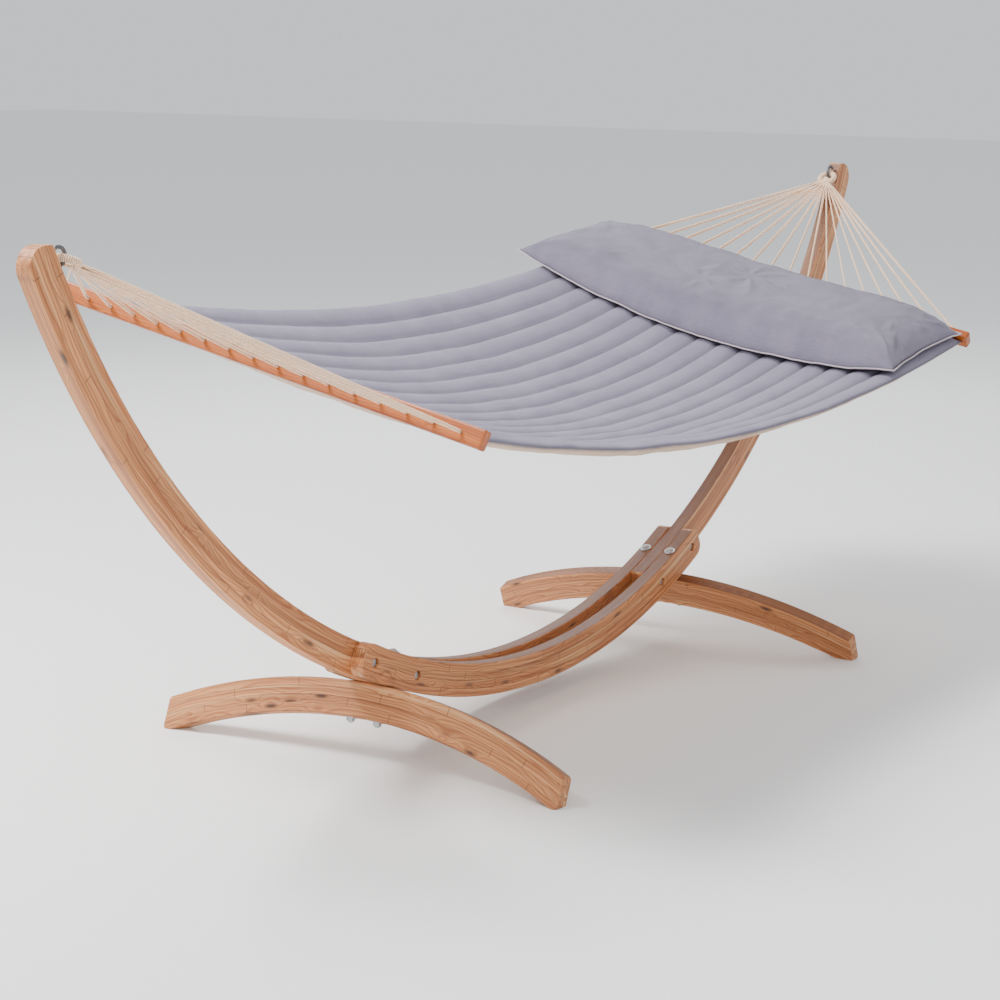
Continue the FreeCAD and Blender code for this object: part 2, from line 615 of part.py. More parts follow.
def tube(points, bend_radius, radius):
    """A straight-bend-straight cord through three points, swept as one solid."""
    start, corner, finish = points
    back, ahead = (start - corner).normalize(), (finish - corner).normalize()
    half_turn = (math.pi - back.getAngle(ahead)) / 2
    reach = bend_radius * math.tan(half_turn)
    toward_centre = (back + ahead).normalize()
    middle = corner + toward_centre * (bend_radius / math.cos(half_turn) - bend_radius)
    arc = Part.Arc(corner + back * reach, middle, corner + ahead * reach)
    path = Part.Wire([Part.LineSegment(start, corner + back * reach).toShape(), arc.toShape(),
                      Part.LineSegment(corner + ahead * reach, finish).toShape()])
    profile = Part.Wire([Part.makeCircle(radius, start, -back)])
    solid = path.makePipeShell([profile], True, False)
    expected = math.pi * radius ** 2 * path.Length
    if abs(solid.Volume / expected - 1) > 0.01:
        raise RuntimeError("a cord's tube lost volume")
    return solid


def make_cords(place):
    """Two cords through every hole of the bar, all fanning from the eye's throat."""
    name = END_NAMES[place.end] + "_cords"
    radius = value("cord_diameter") / 2
    pitch, pair = value("cord_row_pitch"), radius + value("cord_pair_gap") / 2
    start_radius = value("throat_radius") + value("cord_end_gap")
    to_mouth = value("bar_thickness") / 2 + value("cord_mouth_lead")
    to_exit = value("bar_thickness") / 2
    solids = []
    for index, hole in enumerate(place.holes()):
        mouth = hole - place.thickness * to_mouth
        turn = math.radians(place.fan_angle(mouth))
        away = place.thickness * math.cos(turn) + ACROSS * math.sin(turn)
        stagger = pitch / 2 if index % 2 == 0 else -pitch / 2
        for layer in (1, -1):
            start = place.apex + away * start_radius + place.fan_normal * (layer * pitch + stagger)
            lift = place.fan_normal * (layer * pair)
            points = (start, mouth + lift, hole + place.thickness * to_exit + lift)
            solids.append(tube(points, value("cord_bend_radius"), radius))
    cords = doc.addObject("Part::Feature", name)
    cords.Shape = Part.makeCompound(solids)
    lengths = [solid.Volume / (math.pi * radius ** 2) for solid in solids]
    print(name, "shortest and longest cord, mm:", round(min(lengths)), round(max(lengths)),
          "bend radius", value("cord_bend_radius"))
    return finish_node(cords, name)


def make_spreader_bar(place):
    """A wooden bar with a row of cord holes through its thickness."""
    name = END_NAMES[place.end] + "_spreader_bar"
    body = doc.addObject("PartDesign::Body", name)
    section = new_sketch(body, name + "_section", "XZ_Plane")
    add_rectangle(section, "bar_thickness", "bar_height")
    pad = body.newObject("PartDesign::Pad", name + "_pad")
    pad.Profile = section
    pad.SideType = "Symmetric"
    bind(pad, Length="bar_length")
    add_fillet(body, name + "_edges", "bar_edge_round", lambda edge: True)
    half_row = value("bar_length") / 2 - value("bar_end_margin")
    hole = new_sketch(body, name + "_hole", "YZ_Plane")
    index = hole.addGeometry(Part.Circle(Vector(-half_row, 0), Vector(0, 0, 1), value("bar_hole_diameter") / 2), False)
    hole.addConstraint(Sketcher.Constraint("PointOnObject", index, 3, -1))
    add_datum(hole, Sketcher.Constraint("DistanceX", index, 3, -1, 1, half_row), "first",
              "( " + HOLE_ROW + " ) / 2")
    add_datum(hole, Sketcher.Constraint("Diameter", index, value("bar_hole_diameter")), "size", "bar_hole_diameter")
    drilled = add_pocket(body, hole, name + "_drilling", both_ways=True)
    row = body.newObject("PartDesign::LinearPattern", name + "_holes")
    row.Originals = [drilled]
    row.Direction = (hole, ["H_Axis"])
    bind(row, Length=HOLE_ROW, Occurrences="bar_hole_count")
    body.Tip = row
    body.Placement = frame_placement(place.bar, place.thickness, ACROSS)
    return finish_node(body, name)


# ---------------------------------------------------------------- bed and pillow

def hem_point(place):
    """Where the bed's hem meets the bar, in the level hammock's own X and Z."""
    name = END_NAMES[place.end]
    slope = bar_slope(place)
    reach = value("bar_thickness") / 2 + value("bed_hem_gap")
    x = place.end * value(name + "_bar_reach") - place.end * reach * math.cos(slope)
    return x, value(name + "_bar_height") - reach * math.sin(slope)


def bar_slope(place):
    """How steeply the cords come down to the bar, in the level hammock's XZ plane."""
    normal = YAW.inverted().multVec(place.fan_normal)
    upright = normal.z * math.cos(TILT) - normal.y * math.sin(TILT)
    return math.atan2(abs(normal.x), upright)


class BedSurface:
    """The bed's middle surface: a sagging curve from bar to bar, hollow across its width."""

    def __init__(self, places):
        (self.x0, self.z0), (self.x1, self.z1) = hem_point(places[FOOT]), hem_point(places[HEAD])
        self.slopes = (-bar_slope(places[FOOT]), bar_slope(places[HEAD]))
        self.half_width = value("bar_length") / 2 - value("bed_side_margin")

    def along(self, x):
        """-1 at the foot bar, 1 at the head bar."""
        return (2 * x - self.x0 - self.x1) / (self.x1 - self.x0)

    def height(self, x, across):
        hang = 1 - self.along(x) ** 2
        chord = self.z0 + (self.z1 - self.z0) * (x - self.x0) / (self.x1 - self.x0)
        return chord - value("bed_sag") * hang - value("bed_trough") * hang * (1 - across ** 2)

    def lean(self, x):
        """Slope of the hem curve; at the bars it follows the bar's own face."""
        along = self.along(x)
        step = 1.0
        inside = min(max(x, self.x0 + step), self.x1 - step)
        curve = math.atan2(self.height(inside + step, 1) - self.height(inside - step, 1), 2 * step)
        end_slope = self.slopes[0] if along < 0 else self.slopes[1]
        blend = along ** 4
        return curve * (1 - blend) + end_slope * blend

    def offset(self, x, across, distance):
        """A point off the middle surface, square to the hem curve, in the level hammock."""
        lean = self.lean(x)
        return x - distance * math.sin(lean), self.height(x, across) + distance * math.cos(lean)

    def top(self, x, across):
        """Height of the bed's upper face above a point, found by stepping back along the lean."""
        half, refinements = value("bed_thickness") / 2, 8
        under = x
        for _ in range(refinements):
            under += x - self.offset(under, across, half)[0]
        return self.offset(under, across, half)[1]


def spline_edge(points):
    curve = Part.BSplineCurve()
    curve.interpolate(points)
    return curve.toShape()


def closed_section(upper, lower):
    """A closed outline from two splines over the same stations, joined by straight ends."""
    edges = [spline_edge(upper), Part.LineSegment(upper[-1], lower[-1]).toShape(),
             spline_edge(lower[::-1]), Part.LineSegment(lower[0], upper[0]).toShape()]
    return Part.Wire(edges)


def make_bed(surface):
    """The quilted bed as one plain solid of its full thickness."""
    stations, columns = 19, 7
    half = value("bed_thickness") / 2
    sections = []
    for station in range(stations):
        x = surface.x0 + (surface.x1 - surface.x0) * station / (stations - 1)
        upper, lower = [], []
        for column in range(columns):
            across = 2 * column / (columns - 1) - 1
            for side, distance in ((upper, half), (lower, -half)):
                place_x, place_z = surface.offset(x, across, distance)
                side.append(hammock_point(place_x, across * surface.half_width, place_z))
        sections.append(closed_section(upper, lower))
    bed = doc.addObject("Part::Feature", "bed")
    bed.Shape = Part.makeLoft(sections, True, False)
    return finish_node(bed, "bed")


def make_pillow(surface):
    """A long pillow lying across the head end, its underside following the bed."""
    stations, columns = 15, 9
    half_length, half_width = value("pillow_length") / 2, value("pillow_width") / 2
    centre_x = value("head_bar_reach") - value("bar_thickness") - value("pillow_bar_gap") - half_width
    edge = value("pillow_edge_thickness")
    crown = value("pillow_thickness") - edge
    sections = []
    for station in range(stations):
        along = 2 * station / (stations - 1) - 1
        y = along * half_length
        fullness = (1 - abs(along) ** 6) ** 0.5
        upper, lower = [], []
        for column in range(columns):
            across = 2 * column / (columns - 1) - 1
            x = centre_x + across * half_width
            shifted = y + value("pillow_shift")
            rest = surface.top(x, shifted / surface.half_width) + value("pillow_bed_gap")
            swell = crown * fullness * (1 - across ** 4) ** 0.5
            lower.append(hammock_point(x, shifted, rest))
            upper.append(hammock_point(x, shifted, rest + edge + swell))
        sections.append(closed_section(upper, lower))
    pillow = doc.addObject("Part::Feature", "pillow")
    pillow.Shape = Part.makeLoft(sections, True, False)
    return finish_node(pillow, "pillow")


# ---------------------------------------------------------------- build, check and write

for side in (NEAR, FAR):
    make_rail(side)
hanging = {end: HangingEnd(end) for end in (FOOT, HEAD)}
for end in (FOOT, HEAD):
    make_arm(end)
    make_cross_beam(end)
    make_joint_fasteners(end)
    make_base_fasteners(end)
    make_hook(hanging[end])
    make_rope_eye(hanging[end])
    make_cords(hanging[end])
    make_spreader_bar(hanging[end])
bed_surface = BedSurface(hanging)
make_bed(bed_surface)
make_pillow(bed_surface)
doc.recompute()

for item in doc.Objects:
    if "Invalid" in item.State or "Error" in item.State:
        raise RuntimeError(item.Label + " failed to build")
for node in nodes:
    if node.Shape.isNull() or not node.Shape.isValid() or not node.Shape.Solids:
        raise RuntimeError(node.Label + " has no valid solid")

os.makedirs("parts", exist_ok=True)
for node in nodes:
    node.Shape.exportStep("parts/" + node.Label + ".step")
print(len(nodes), "nodes,", sum(len(node.Shape.Solids) for node in nodes), "solids")
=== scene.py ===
import math

import bmesh
import bpy
from mathutils import Euler, Matrix, Vector, noise


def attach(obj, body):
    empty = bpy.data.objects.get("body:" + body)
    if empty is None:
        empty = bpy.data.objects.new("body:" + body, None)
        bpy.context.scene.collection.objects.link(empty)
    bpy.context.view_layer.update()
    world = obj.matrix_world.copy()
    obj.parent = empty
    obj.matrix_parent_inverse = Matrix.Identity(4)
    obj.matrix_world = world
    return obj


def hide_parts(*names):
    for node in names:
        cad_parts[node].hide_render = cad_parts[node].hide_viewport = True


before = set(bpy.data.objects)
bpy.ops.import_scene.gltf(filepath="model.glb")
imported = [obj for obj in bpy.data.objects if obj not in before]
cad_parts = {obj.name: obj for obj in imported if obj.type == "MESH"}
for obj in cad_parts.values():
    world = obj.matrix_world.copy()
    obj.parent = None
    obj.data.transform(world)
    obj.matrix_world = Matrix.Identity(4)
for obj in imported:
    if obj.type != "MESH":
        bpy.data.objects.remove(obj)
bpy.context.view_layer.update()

# Hammock on a laminated timber stand, dressed over its frame. Metres, +Z up, +X to the pillow end.

TILT = math.radians(11.2)          # the hammock hangs lower on its near side
YAW = math.radians(-1.2)           # and lies a little askew over the stand
TILT_HEIGHT = 1.0976
SIDE_SHIFT = -0.049
BED_WIDTH = 1.17
BED_SAG = 0.125
BED_TROUGH = 0.125
BED_HALF = 0.0125
CHANNELS = 17
RAIL_RADIUS = 1.745
RAIL_CENTRE = (0.0, 1.868)         # x and z of the rails' arc
ARM_RADIUS = 1.960
ARM_TANGENT = math.radians(16)
HOOK_ANGLE = math.radians(64.1)
HOOK_BEND = 0.018
HOOK_WIRE = 0.004                  # radius
BAR_PLACES = {-1: (1.108, 0.980), 1: (1.301, 0.932)}   # reach and height of each bar's middle, by end
CORD_HOLES = 17
HOLE_ROW = 1.088
EYE_RADIUS = 0.022
EYE_ROPE = 0.0085
EYE_GAP = 0.0008
THROAT = 0.044
LAMELLA = 0.0205
HOOK_STAND_OFF = 0.018             # from the arm's inner face to the middle of the hook's bend
BEAM_ANGLE = math.radians(22.2)    # round the rails' arc to each cross beam
BEAM_SEAT = RAIL_RADIUS + 0.0821
BEAM_RADIUS = 1.35
CAMERA_PLACE = (-5.0748, -3.1729, 1.6780)
CAMERA_ANGLES = (32.79, -11.15, 0.40)   # yaw, pitch and roll in degrees
CAMERA_LENS = 86.87
ENDS = ((-1, "foot"), (1, "head"))


# ---------------------------------------------------------------- small helpers

def add_object(name, mesh, material):
    """Links a mesh to the scene, smooth and with one material."""
    obj = bpy.data.objects.new(name, mesh)
    bpy.context.scene.collection.objects.link(obj)
    mesh.materials.clear()
    mesh.materials.append(material)
    mesh.polygons.foreach_set("use_smooth", [True] * len(mesh.polygons))
    return obj


def level_point(x, y, z):
    """A point of the level hammock, moved to where the tilted hammock hangs."""
    rise = z - TILT_HEIGHT
    hung = Vector((x, SIDE_SHIFT + y * math.cos(TILT) - rise * math.sin(TILT),
                   TILT_HEIGHT + y * math.sin(TILT) + rise * math.cos(TILT)))
    return Matrix.Rotation(YAW, 3, "Z") @ hung


def tilted(vector):
    """Turns a direction of the level hammock with its tilt."""
    return Matrix.Rotation(YAW, 3, "Z") @ Matrix.Rotation(TILT, 3, "X") @ vector


def soft_noise(x, y, z):
    """Smooth noise of about -1 to 1, the same on each run."""
    return noise.noise(Vector((x, y, z)))


def swept(name, runs, thickness, material, closed=False):
    """Round cords along lists of points, as one mesh at the origin."""
    curve = bpy.data.curves.new(name, "CURVE")
    curve.dimensions = "3D"
    curve.bevel_depth = thickness
    curve.bevel_resolution = 2
    curve.use_fill_caps = True
    for points in runs:
        spline = curve.splines.new("POLY")
        spline.points.add(len(points) - 1)
        for slot, point in zip(spline.points, points):
            slot.co = (*point, 1.0)
        spline.use_cyclic_u = closed
    holder = bpy.data.objects.new(name, curve)
    bpy.context.scene.collection.objects.link(holder)
    graph = bpy.context.evaluated_depsgraph_get()
    mesh = bpy.data.meshes.new_from_object(holder.evaluated_get(graph))
    bpy.data.objects.remove(holder)
    return add_object(name, mesh, material)


# ---------------------------------------------------------------- shader building

def new_group(name, inputs, outputs):
    """A shader node group with float, colour and vector sockets."""
    tree = bpy.data.node_groups.new(name, "ShaderNodeTree")
    kinds = {"f": "NodeSocketFloat", "c": "NodeSocketColor", "v": "NodeSocketVector"}
    for label, kind, default in inputs:
        socket = tree.interface.new_socket(label, in_out="INPUT", socket_type=kinds[kind])
        if default is not None:
            socket.default_value = default
    for label, kind in outputs:
        tree.interface.new_socket(label, in_out="OUTPUT", socket_type=kinds[kind])
    return tree, tree.nodes.new("NodeGroupInput"), tree.nodes.new("NodeGroupOutput")


def feed(tree, item, values):
    """Links each value that is an output socket to the node's input, and sets the others."""
    for key, source in values.items():
        if hasattr(source, "is_output"):
            tree.links.new(source, item.inputs[key])
        else:
            item.inputs[key].default_value = source


def node(tree, kind, values=None, **settings):
    """Adds a node; values are for its input sockets, settings for its own properties."""
    item = tree.nodes.new(kind)
    for key, setting in settings.items():
        setattr(item, key, setting)
    feed(tree, item, values or {})
    return item


def grouped(tree, group, values):
    """Adds a node group and gives its outputs."""
    item = tree.nodes.new("ShaderNodeGroup")
    item.node_tree = group
    feed(tree, item, values)
    return item.outputs


def stretched_noise(tree, vector, scale, detail, location=(0.0, 0.0, 0.0), **others):
    """Noise whose space is scaled by its own factor along each axis."""
    space = node(tree, "ShaderNodeMapping", {"Vector": vector, "Location": location, "Scale": scale}).outputs[0]
    values = {"Vector": space, "Scale": 1.0, "Detail": detail, **others}
    return node(tree, "ShaderNodeTexNoise", values).outputs["Fac"]


def maths(tree, operation, first, second=0.0, third=0.0):
    """A maths node with as many inputs as its operation takes."""
    values = {0: first, 1: second, 2: third}
    if operation in ("SINE", "COSINE", "ABSOLUTE", "FRACT", "FLOOR", "SQRT"):
        values = {0: first}
    elif operation not in ("MULTIPLY_ADD", "COMPARE"):
        values = {0: first, 1: second}
    return node(tree, "ShaderNodeMath", values, operation=operation).outputs[0]


def ramp(tree, source, stops):
    """A colour ramp from (position, colour) pairs; a number stands for a grey."""
    item = node(tree, "ShaderNodeValToRGB", {"Fac": source})
    while len(item.color_ramp.elements) < len(stops):
        item.color_ramp.elements.new(0.5)
    for element, (position, colour) in zip(item.color_ramp.elements, stops):
        element.position = position
        grey = (colour, colour, colour) if isinstance(colour, (int, float)) else colour
        element.color = (*grey, 1.0)
    return item.outputs["Color"]


def mix_colours(tree, amount, first, second, blend="MIX"):
    """Mixes two colours, each a socket or a tuple."""
    item = node(tree, "ShaderNodeMix", data_type="RGBA", blend_type=blend)
    for index, source in ((0, amount), (6, first), (7, second)):
        if hasattr(source, "is_output"):
            tree.links.new(source, item.inputs[index])
        else:
            item.inputs[index].default_value = (*source, 1.0) if isinstance(source, tuple) else source
    return item.outputs[2]


def new_material(name, metallic=0.0, coat=0.0):
    """A material whose Principled shader gets its colour, roughness and height by links."""
    material = bpy.data.materials.new(name)
    material.use_nodes = True
    tree = material.node_tree
    shader = tree.nodes["Principled BSDF"]
    shader.inputs["Metallic"].default_value = metallic
    shader.inputs["Coat Weight"].default_value = coat
    return material, tree, shader


def finish_material(tree, shader, colour, roughness, height, depth):
    """Links the finished colour, roughness and bump to the shader."""
    bump = node(tree, "ShaderNodeBump", {"Height": height, "Strength": 1.0, "Distance": depth})
    tree.links.new(colour, shader.inputs["Base Color"])
    tree.links.new(roughness, shader.inputs["Roughness"])
    tree.links.new(bump.outputs["Normal"], shader.inputs["Normal"])


def place_of(tree):
    """The Object coordinates, in metres."""
    return node(tree, "ShaderNodeTexCoord").outputs["Object"]


# ---------------------------------------------------------------- shared effects

def make_arc_place():
    """Bends Object coordinates round an arc: X runs along the timber, Z across its lamellas."""
    tree, given, out = new_group("arc_place", [("Place", "v", None), ("Centre X", "f", 0.0),
                                               ("Centre Z", "f", 1.8), ("Radius", "f", 1.7)],
                                 [("Along", "v")])
    parts = node(tree, "ShaderNodeSeparateXYZ", {0: given.outputs["Place"]})
    across = maths(tree, "SUBTRACT", parts.outputs["X"], given.outputs["Centre X"])
    below = maths(tree, "SUBTRACT", given.outputs["Centre Z"], parts.outputs["Z"])
    angle = maths(tree, "ARCTAN2", across, below)
    length = maths(tree, "MULTIPLY", angle, given.outputs["Radius"])
    square = maths(tree, "ADD", maths(tree, "MULTIPLY", across, across), maths(tree, "MULTIPLY", below, below))
    radial = maths(tree, "SUBTRACT", maths(tree, "SQRT", square), given.outputs["Radius"])
    joined = node(tree, "ShaderNodeCombineXYZ", {"X": length, "Y": parts.outputs["Y"], "Z": radial})
    tree.links.new(joined.outputs[0], out.inputs["Along"])
    return tree


def make_timber():
    """Softwood figure along X: growth lines, darker streaks, lamella joints and small knots."""
    tree, given, out = new_group(
        "timber_figure",
        [("Place", "v", None), ("Pale", "c", (0.8, 0.5, 0.3, 1)), ("Deep", "c", (0.5, 0.25, 0.1, 1)),
         ("Lamella", "f", LAMELLA), ("Joint", "f", 0.6), ("Knots", "f", 1.0), ("Seed", "f", 0.0)],
        [("Color", "c"), ("Roughness", "f"), ("Height", "f")])
    shifted = node(tree, "ShaderNodeVectorMath", {0: given.outputs["Place"]}, operation="ADD")
    seed = node(tree, "ShaderNodeCombineXYZ", {"X": given.outputs["Seed"], "Y": given.outputs["Seed"]})
    tree.links.new(seed.outputs[0], shifted.inputs[1])
    place = shifted.outputs[0]
    parts = node(tree, "ShaderNodeSeparateXYZ", {0: place})
    layer = maths(tree, "DIVIDE", parts.outputs["Z"], given.outputs["Lamella"])
    number = maths(tree, "FLOOR", layer)
    tone = node(tree, "ShaderNodeTexWhiteNoise", {"W": number}, noise_dimensions="1D").outputs["Value"]

    # Each lamella is its own board, so its figure is shifted by its own tone.
    jump = node(tree, "ShaderNodeCombineXYZ", {"X": maths(tree, "MULTIPLY", tone, 7.0), "Y": tone})
    board = node(tree, "ShaderNodeVectorMath", {0: place, 1: jump.outputs[0]}, operation="ADD").outputs[0]

    knot_space = node(tree, "ShaderNodeMapping", {"Vector": board, "Scale": (8.5, 30.0, 30.0)}).outputs[0]
    knots = node(tree, "ShaderNodeTexVoronoi", {"Vector": knot_space, "Scale": 1.0, "Randomness": 1.0})
    knot_far = knots.outputs["Distance"]
    swirl = maths(tree, "DIVIDE", 0.0045, maths(tree, "ADD", knot_far, 0.14))
    wander = stretched_noise(tree, board, (1.7, 7.0, 7.0), 3.0)
    board_parts = node(tree, "ShaderNodeSeparateXYZ", {0: board})
    rise = maths(tree, "MULTIPLY_ADD", board_parts.outputs["Z"], 0.55, board_parts.outputs["Y"])
    rings = maths(tree, "ADD", maths(tree, "MULTIPLY_ADD", wander, 0.034, rise), swirl)
    grain = maths(tree, "FRACT", maths(tree, "MULTIPLY", rings, 210.0))
    line = ramp(tree, grain, [(0.0, 0.15), (0.45, 0.3), (0.82, 0.95), (0.93, 0.8), (1.0, 0.15)])

    fibre = stretched_noise(tree, board, (9.0, 700.0, 700.0), 4.0, Roughness=0.65)
    streak = stretched_noise(tree, board, (1.5, 75.0, 75.0), 3.0)

    body = mix_colours(tree, ramp(tree, streak, [(0.34, 0.0), (0.72, 1.0)]),
                       given.outputs["Pale"], given.outputs["Deep"])
    body = mix_colours(tree, 0.45, body, mix_colours(tree, tone, (0.72, 0.72, 0.72), (1.18, 1.12, 1.06)), "MULTIPLY")
    lined = mix_colours(tree, maths(tree, "MULTIPLY", line, 0.62), body, given.outputs["Deep"], "MULTIPLY")
    sap = stretched_noise(tree, board, (1.2, 55.0, 55.0), 2.0, location=(3.0, 0.0, 5.0))
    sapwood = maths(tree, "MULTIPLY", ramp(tree, sap, [(0.6, 0.0), (0.68, 1.0)]), maths(
        tree, "MULTIPLY", given.outputs["Knots"], 0.55))
    lined = mix_colours(tree, sapwood, lined, (0.86, 0.56, 0.27))
    flare = stretched_noise(tree, board, (4.5, 260.0, 260.0), 3.0, location=(0.0, 7.0, 1.0), Roughness=0.6)
    resin = maths(tree, "MULTIPLY", ramp(tree, flare, [(0.62, 0.0), (0.7, 1.0)]), given.outputs["Knots"])
    lined = mix_colours(tree, maths(tree, "MULTIPLY", resin, 0.6), lined, (0.26, 0.09, 0.03))
    fibred = mix_colours(tree, 0.35, lined, ramp(tree, fibre, [(0.3, 0.62), (0.7, 1.1)]), "MULTIPLY")

    presence = maths(tree, "GREATER_THAN", node(tree, "ShaderNodeSeparateColor", {
        "Color": knots.outputs["Color"]}).outputs["Red"], 0.50)
    knot_core = ramp(tree, knot_far, [(0.08, 1.0), (0.13, 0.6), (0.22, 0.0)])
    knot = maths(tree, "MULTIPLY", maths(tree, "MULTIPLY", knot_core, presence), given.outputs["Knots"])
    halo = maths(tree, "MULTIPLY", ramp(tree, knot_far, [(0.12, 0.6), (0.34, 0.0)]), maths(
        tree, "MULTIPLY", presence, given.outputs["Knots"]))
    knotted = mix_colours(tree, halo, fibred, (0.36, 0.14, 0.05))
    knotted = mix_colours(tree, knot, knotted, (0.06, 0.02, 0.008))

    edge = maths(tree, "ABSOLUTE", maths(tree, "SUBTRACT", maths(tree, "FRACT", layer), 0.5))
    joint = maths(tree, "MULTIPLY", ramp(tree, edge, [(0.468, 0.0), (0.490, 1.0)]), given.outputs["Joint"])
    # Finger joints: short toothed marks where two boards of one lamella meet.
    board_length = 0.43
    boards = maths(tree, "DIVIDE", parts.outputs["X"], board_length)
    run = maths(tree, "ADD", boards, maths(tree, "MULTIPLY", tone, 5.0))
    teeth = maths(tree, "PINGPONG", maths(tree, "DIVIDE", parts.outputs["Y"], 0.008), 0.5)
    toothed = maths(tree, "MULTIPLY_ADD", teeth, 0.05, maths(tree, "FRACT", run))
    finger = maths(tree, "MULTIPLY", maths(tree, "COMPARE", toothed, 0.5, 0.003), given.outputs["Joint"])
    joint = maths(tree, "MAXIMUM", joint, maths(tree, "MULTIPLY", finger, 0.8))
    jointed = mix_colours(tree, joint, knotted, (0.13, 0.045, 0.017))
    tree.links.new(jointed, out.inputs["Color"])
    rough = maths(tree, "MULTIPLY_ADD", fibre, 0.25, 0.42)
    tree.links.new(maths(tree, "SUBTRACT", rough, maths(tree, "MULTIPLY", knot, 0.12)), out.inputs["Roughness"])
    height = maths(tree, "MULTIPLY_ADD", fibre, 0.5, maths(tree, "MULTIPLY", line, 0.25))
    height = maths(tree, "SUBTRACT", height, maths(tree, "MULTIPLY", joint, 0.9))
    tree.links.new(height, out.inputs["Height"])
    return tree


def make_weave():
    """Plain woven cloth from a flat map in metres, with slubs and a soft mottle."""
    tree, given, out = new_group(
        "woven_cloth", [("Flat", "v", None), ("Thread", "f", 0.0011), ("Base", "c", (0.4, 0.4, 0.5, 1)),
                        ("Dark", "c", (0.3, 0.3, 0.38, 1))], [("Color", "c"), ("Roughness", "f"), ("Height", "f")])
    parts = node(tree, "ShaderNodeSeparateXYZ", {0: given.outputs["Flat"]})
    turns = maths(tree, "DIVIDE", math.pi, given.outputs["Thread"])
    warp = maths(tree, "SINE", maths(tree, "MULTIPLY", parts.outputs["X"], turns))
    weft = maths(tree, "SINE", maths(tree, "MULTIPLY", parts.outputs["Y"], turns))
    cross = maths(tree, "MULTIPLY", warp, weft)
    slub = stretched_noise(tree, given.outputs["Flat"], (40.0, 900.0, 60.0), 3.0)
    mottle = node(tree, "ShaderNodeTexNoise", {"Vector": given.outputs["Flat"], "Scale": 9.0,
                                               "Detail": 5.0, "Roughness": 0.6}).outputs["Fac"]
    shade = mix_colours(tree, ramp(tree, mottle, [(0.32, 0.0), (0.68, 1.0)]),
                        given.outputs["Dark"], given.outputs["Base"])
    shade = mix_colours(tree, 0.3, shade, ramp(tree, slub, [(0.3, 0.75), (0.7, 1.15)]), "MULTIPLY")
    shade = mix_colours(tree, 0.22, shade, ramp(tree, maths(tree, "MULTIPLY_ADD", cross, 0.5, 0.5),
                                                [(0.1, 0.6), (0.9, 1.15)]), "MULTIPLY")
    tree.links.new(shade, out.inputs["Color"])
    tree.links.new(maths(tree, "MULTIPLY_ADD", slub, 0.12, 0.8), out.inputs["Roughness"])
    tree.links.new(maths(tree, "MULTIPLY_ADD", slub, 0.5, maths(tree, "MULTIPLY", cross, 0.5)), out.inputs["Height"])
    return tree


ARC_PLACE = make_arc_place()
TIMBER = make_timber()
WEAVE = make_weave()


# ---------------------------------------------------------------- materials

LARCH_PALE = (0.80, 0.375, 0.145, 1)
LARCH_DEEP = (0.38, 0.125, 0.034, 1)


def bent_larch(name, centre_x, centre_z, radius, seed):
    """Oiled larch whose figure follows the timber's own arc."""
    material, tree, shader = new_material(name, coat=0.06)
    shader.inputs["Coat Roughness"].default_value = 0.4
    along = grouped(tree, ARC_PLACE, {"Place": place_of(tree), "Centre X": centre_x, "Centre Z": centre_z,
                                      "Radius": radius})["Along"]
    figure = grouped(tree, TIMBER, {"Place": along, "Pale": LARCH_PALE, "Deep": LARCH_DEEP,
                                    "Lamella": LAMELLA, "Joint": 0.8, "Knots": 1.0, "Seed": seed})
    finish_material(tree, shader, figure["Color"], figure["Roughness"], figure["Height"], 0.0009)
    return material


def cross_beam_larch(name, centre, slope, radius, seed):
    """Larch of an arched cross beam, its figure bent along Y."""
    material, tree, shader = new_material(name, coat=0.06)
    shader.inputs["Coat Roughness"].default_value = 0.4
    turned = node(tree, "ShaderNodeMapping", {"Vector": place_of(tree), "Location": centre,
                                              "Rotation": (0.0, slope, 0.0)}, vector_type="POINT").outputs[0]
    parts = node(tree, "ShaderNodeSeparateXYZ", {0: turned})
    swapped = node(tree, "ShaderNodeCombineXYZ", {"X": parts.outputs["Y"], "Y": parts.outputs["X"],
                                                  "Z": maths(tree, "MULTIPLY", parts.outputs["Z"], -1.0)}).outputs[0]
    along = grouped(tree, ARC_PLACE, {"Place": swapped, "Centre X": 0.0, "Centre Z": radius,
                                      "Radius": radius})["Along"]
    figure = grouped(tree, TIMBER, {"Place": along, "Pale": LARCH_PALE, "Deep": LARCH_DEEP,
                                    "Lamella": LAMELLA, "Joint": 0.75, "Knots": 1.0, "Seed": seed})
    finish_material(tree, shader, figure["Color"], figure["Roughness"], figure["Height"], 0.0009)
    return material


def stained_wood(name, seed):
    """Orange-brown varnished hardwood, its grain along the bar."""
    material, tree, shader = new_material(name, coat=0.12)
    shader.inputs["Coat Roughness"].default_value = 0.3
    turned = node(tree, "ShaderNodeMapping", {"Vector": place_of(tree), "Rotation": (-TILT, 0.0, -YAW)}).outputs[0]
    parts = node(tree, "ShaderNodeSeparateXYZ", {0: turned})
    swapped = node(tree, "ShaderNodeCombineXYZ", {"X": parts.outputs["Y"], "Y": parts.outputs["X"],
                                                  "Z": parts.outputs["Z"]}).outputs[0]
    figure = grouped(tree, TIMBER, {"Place": swapped, "Pale": (0.62, 0.17, 0.012, 1), "Deep": (0.38, 0.07, 0.004, 1),
                                    "Lamella": 0.5, "Joint": 0.0, "Knots": 0.15, "Seed": seed})
    roughness = maths(tree, "MULTIPLY", figure["Roughness"], 0.72)
    finish_material(tree, shader, figure["Color"], roughness, figure["Height"], 0.0004)
    return material


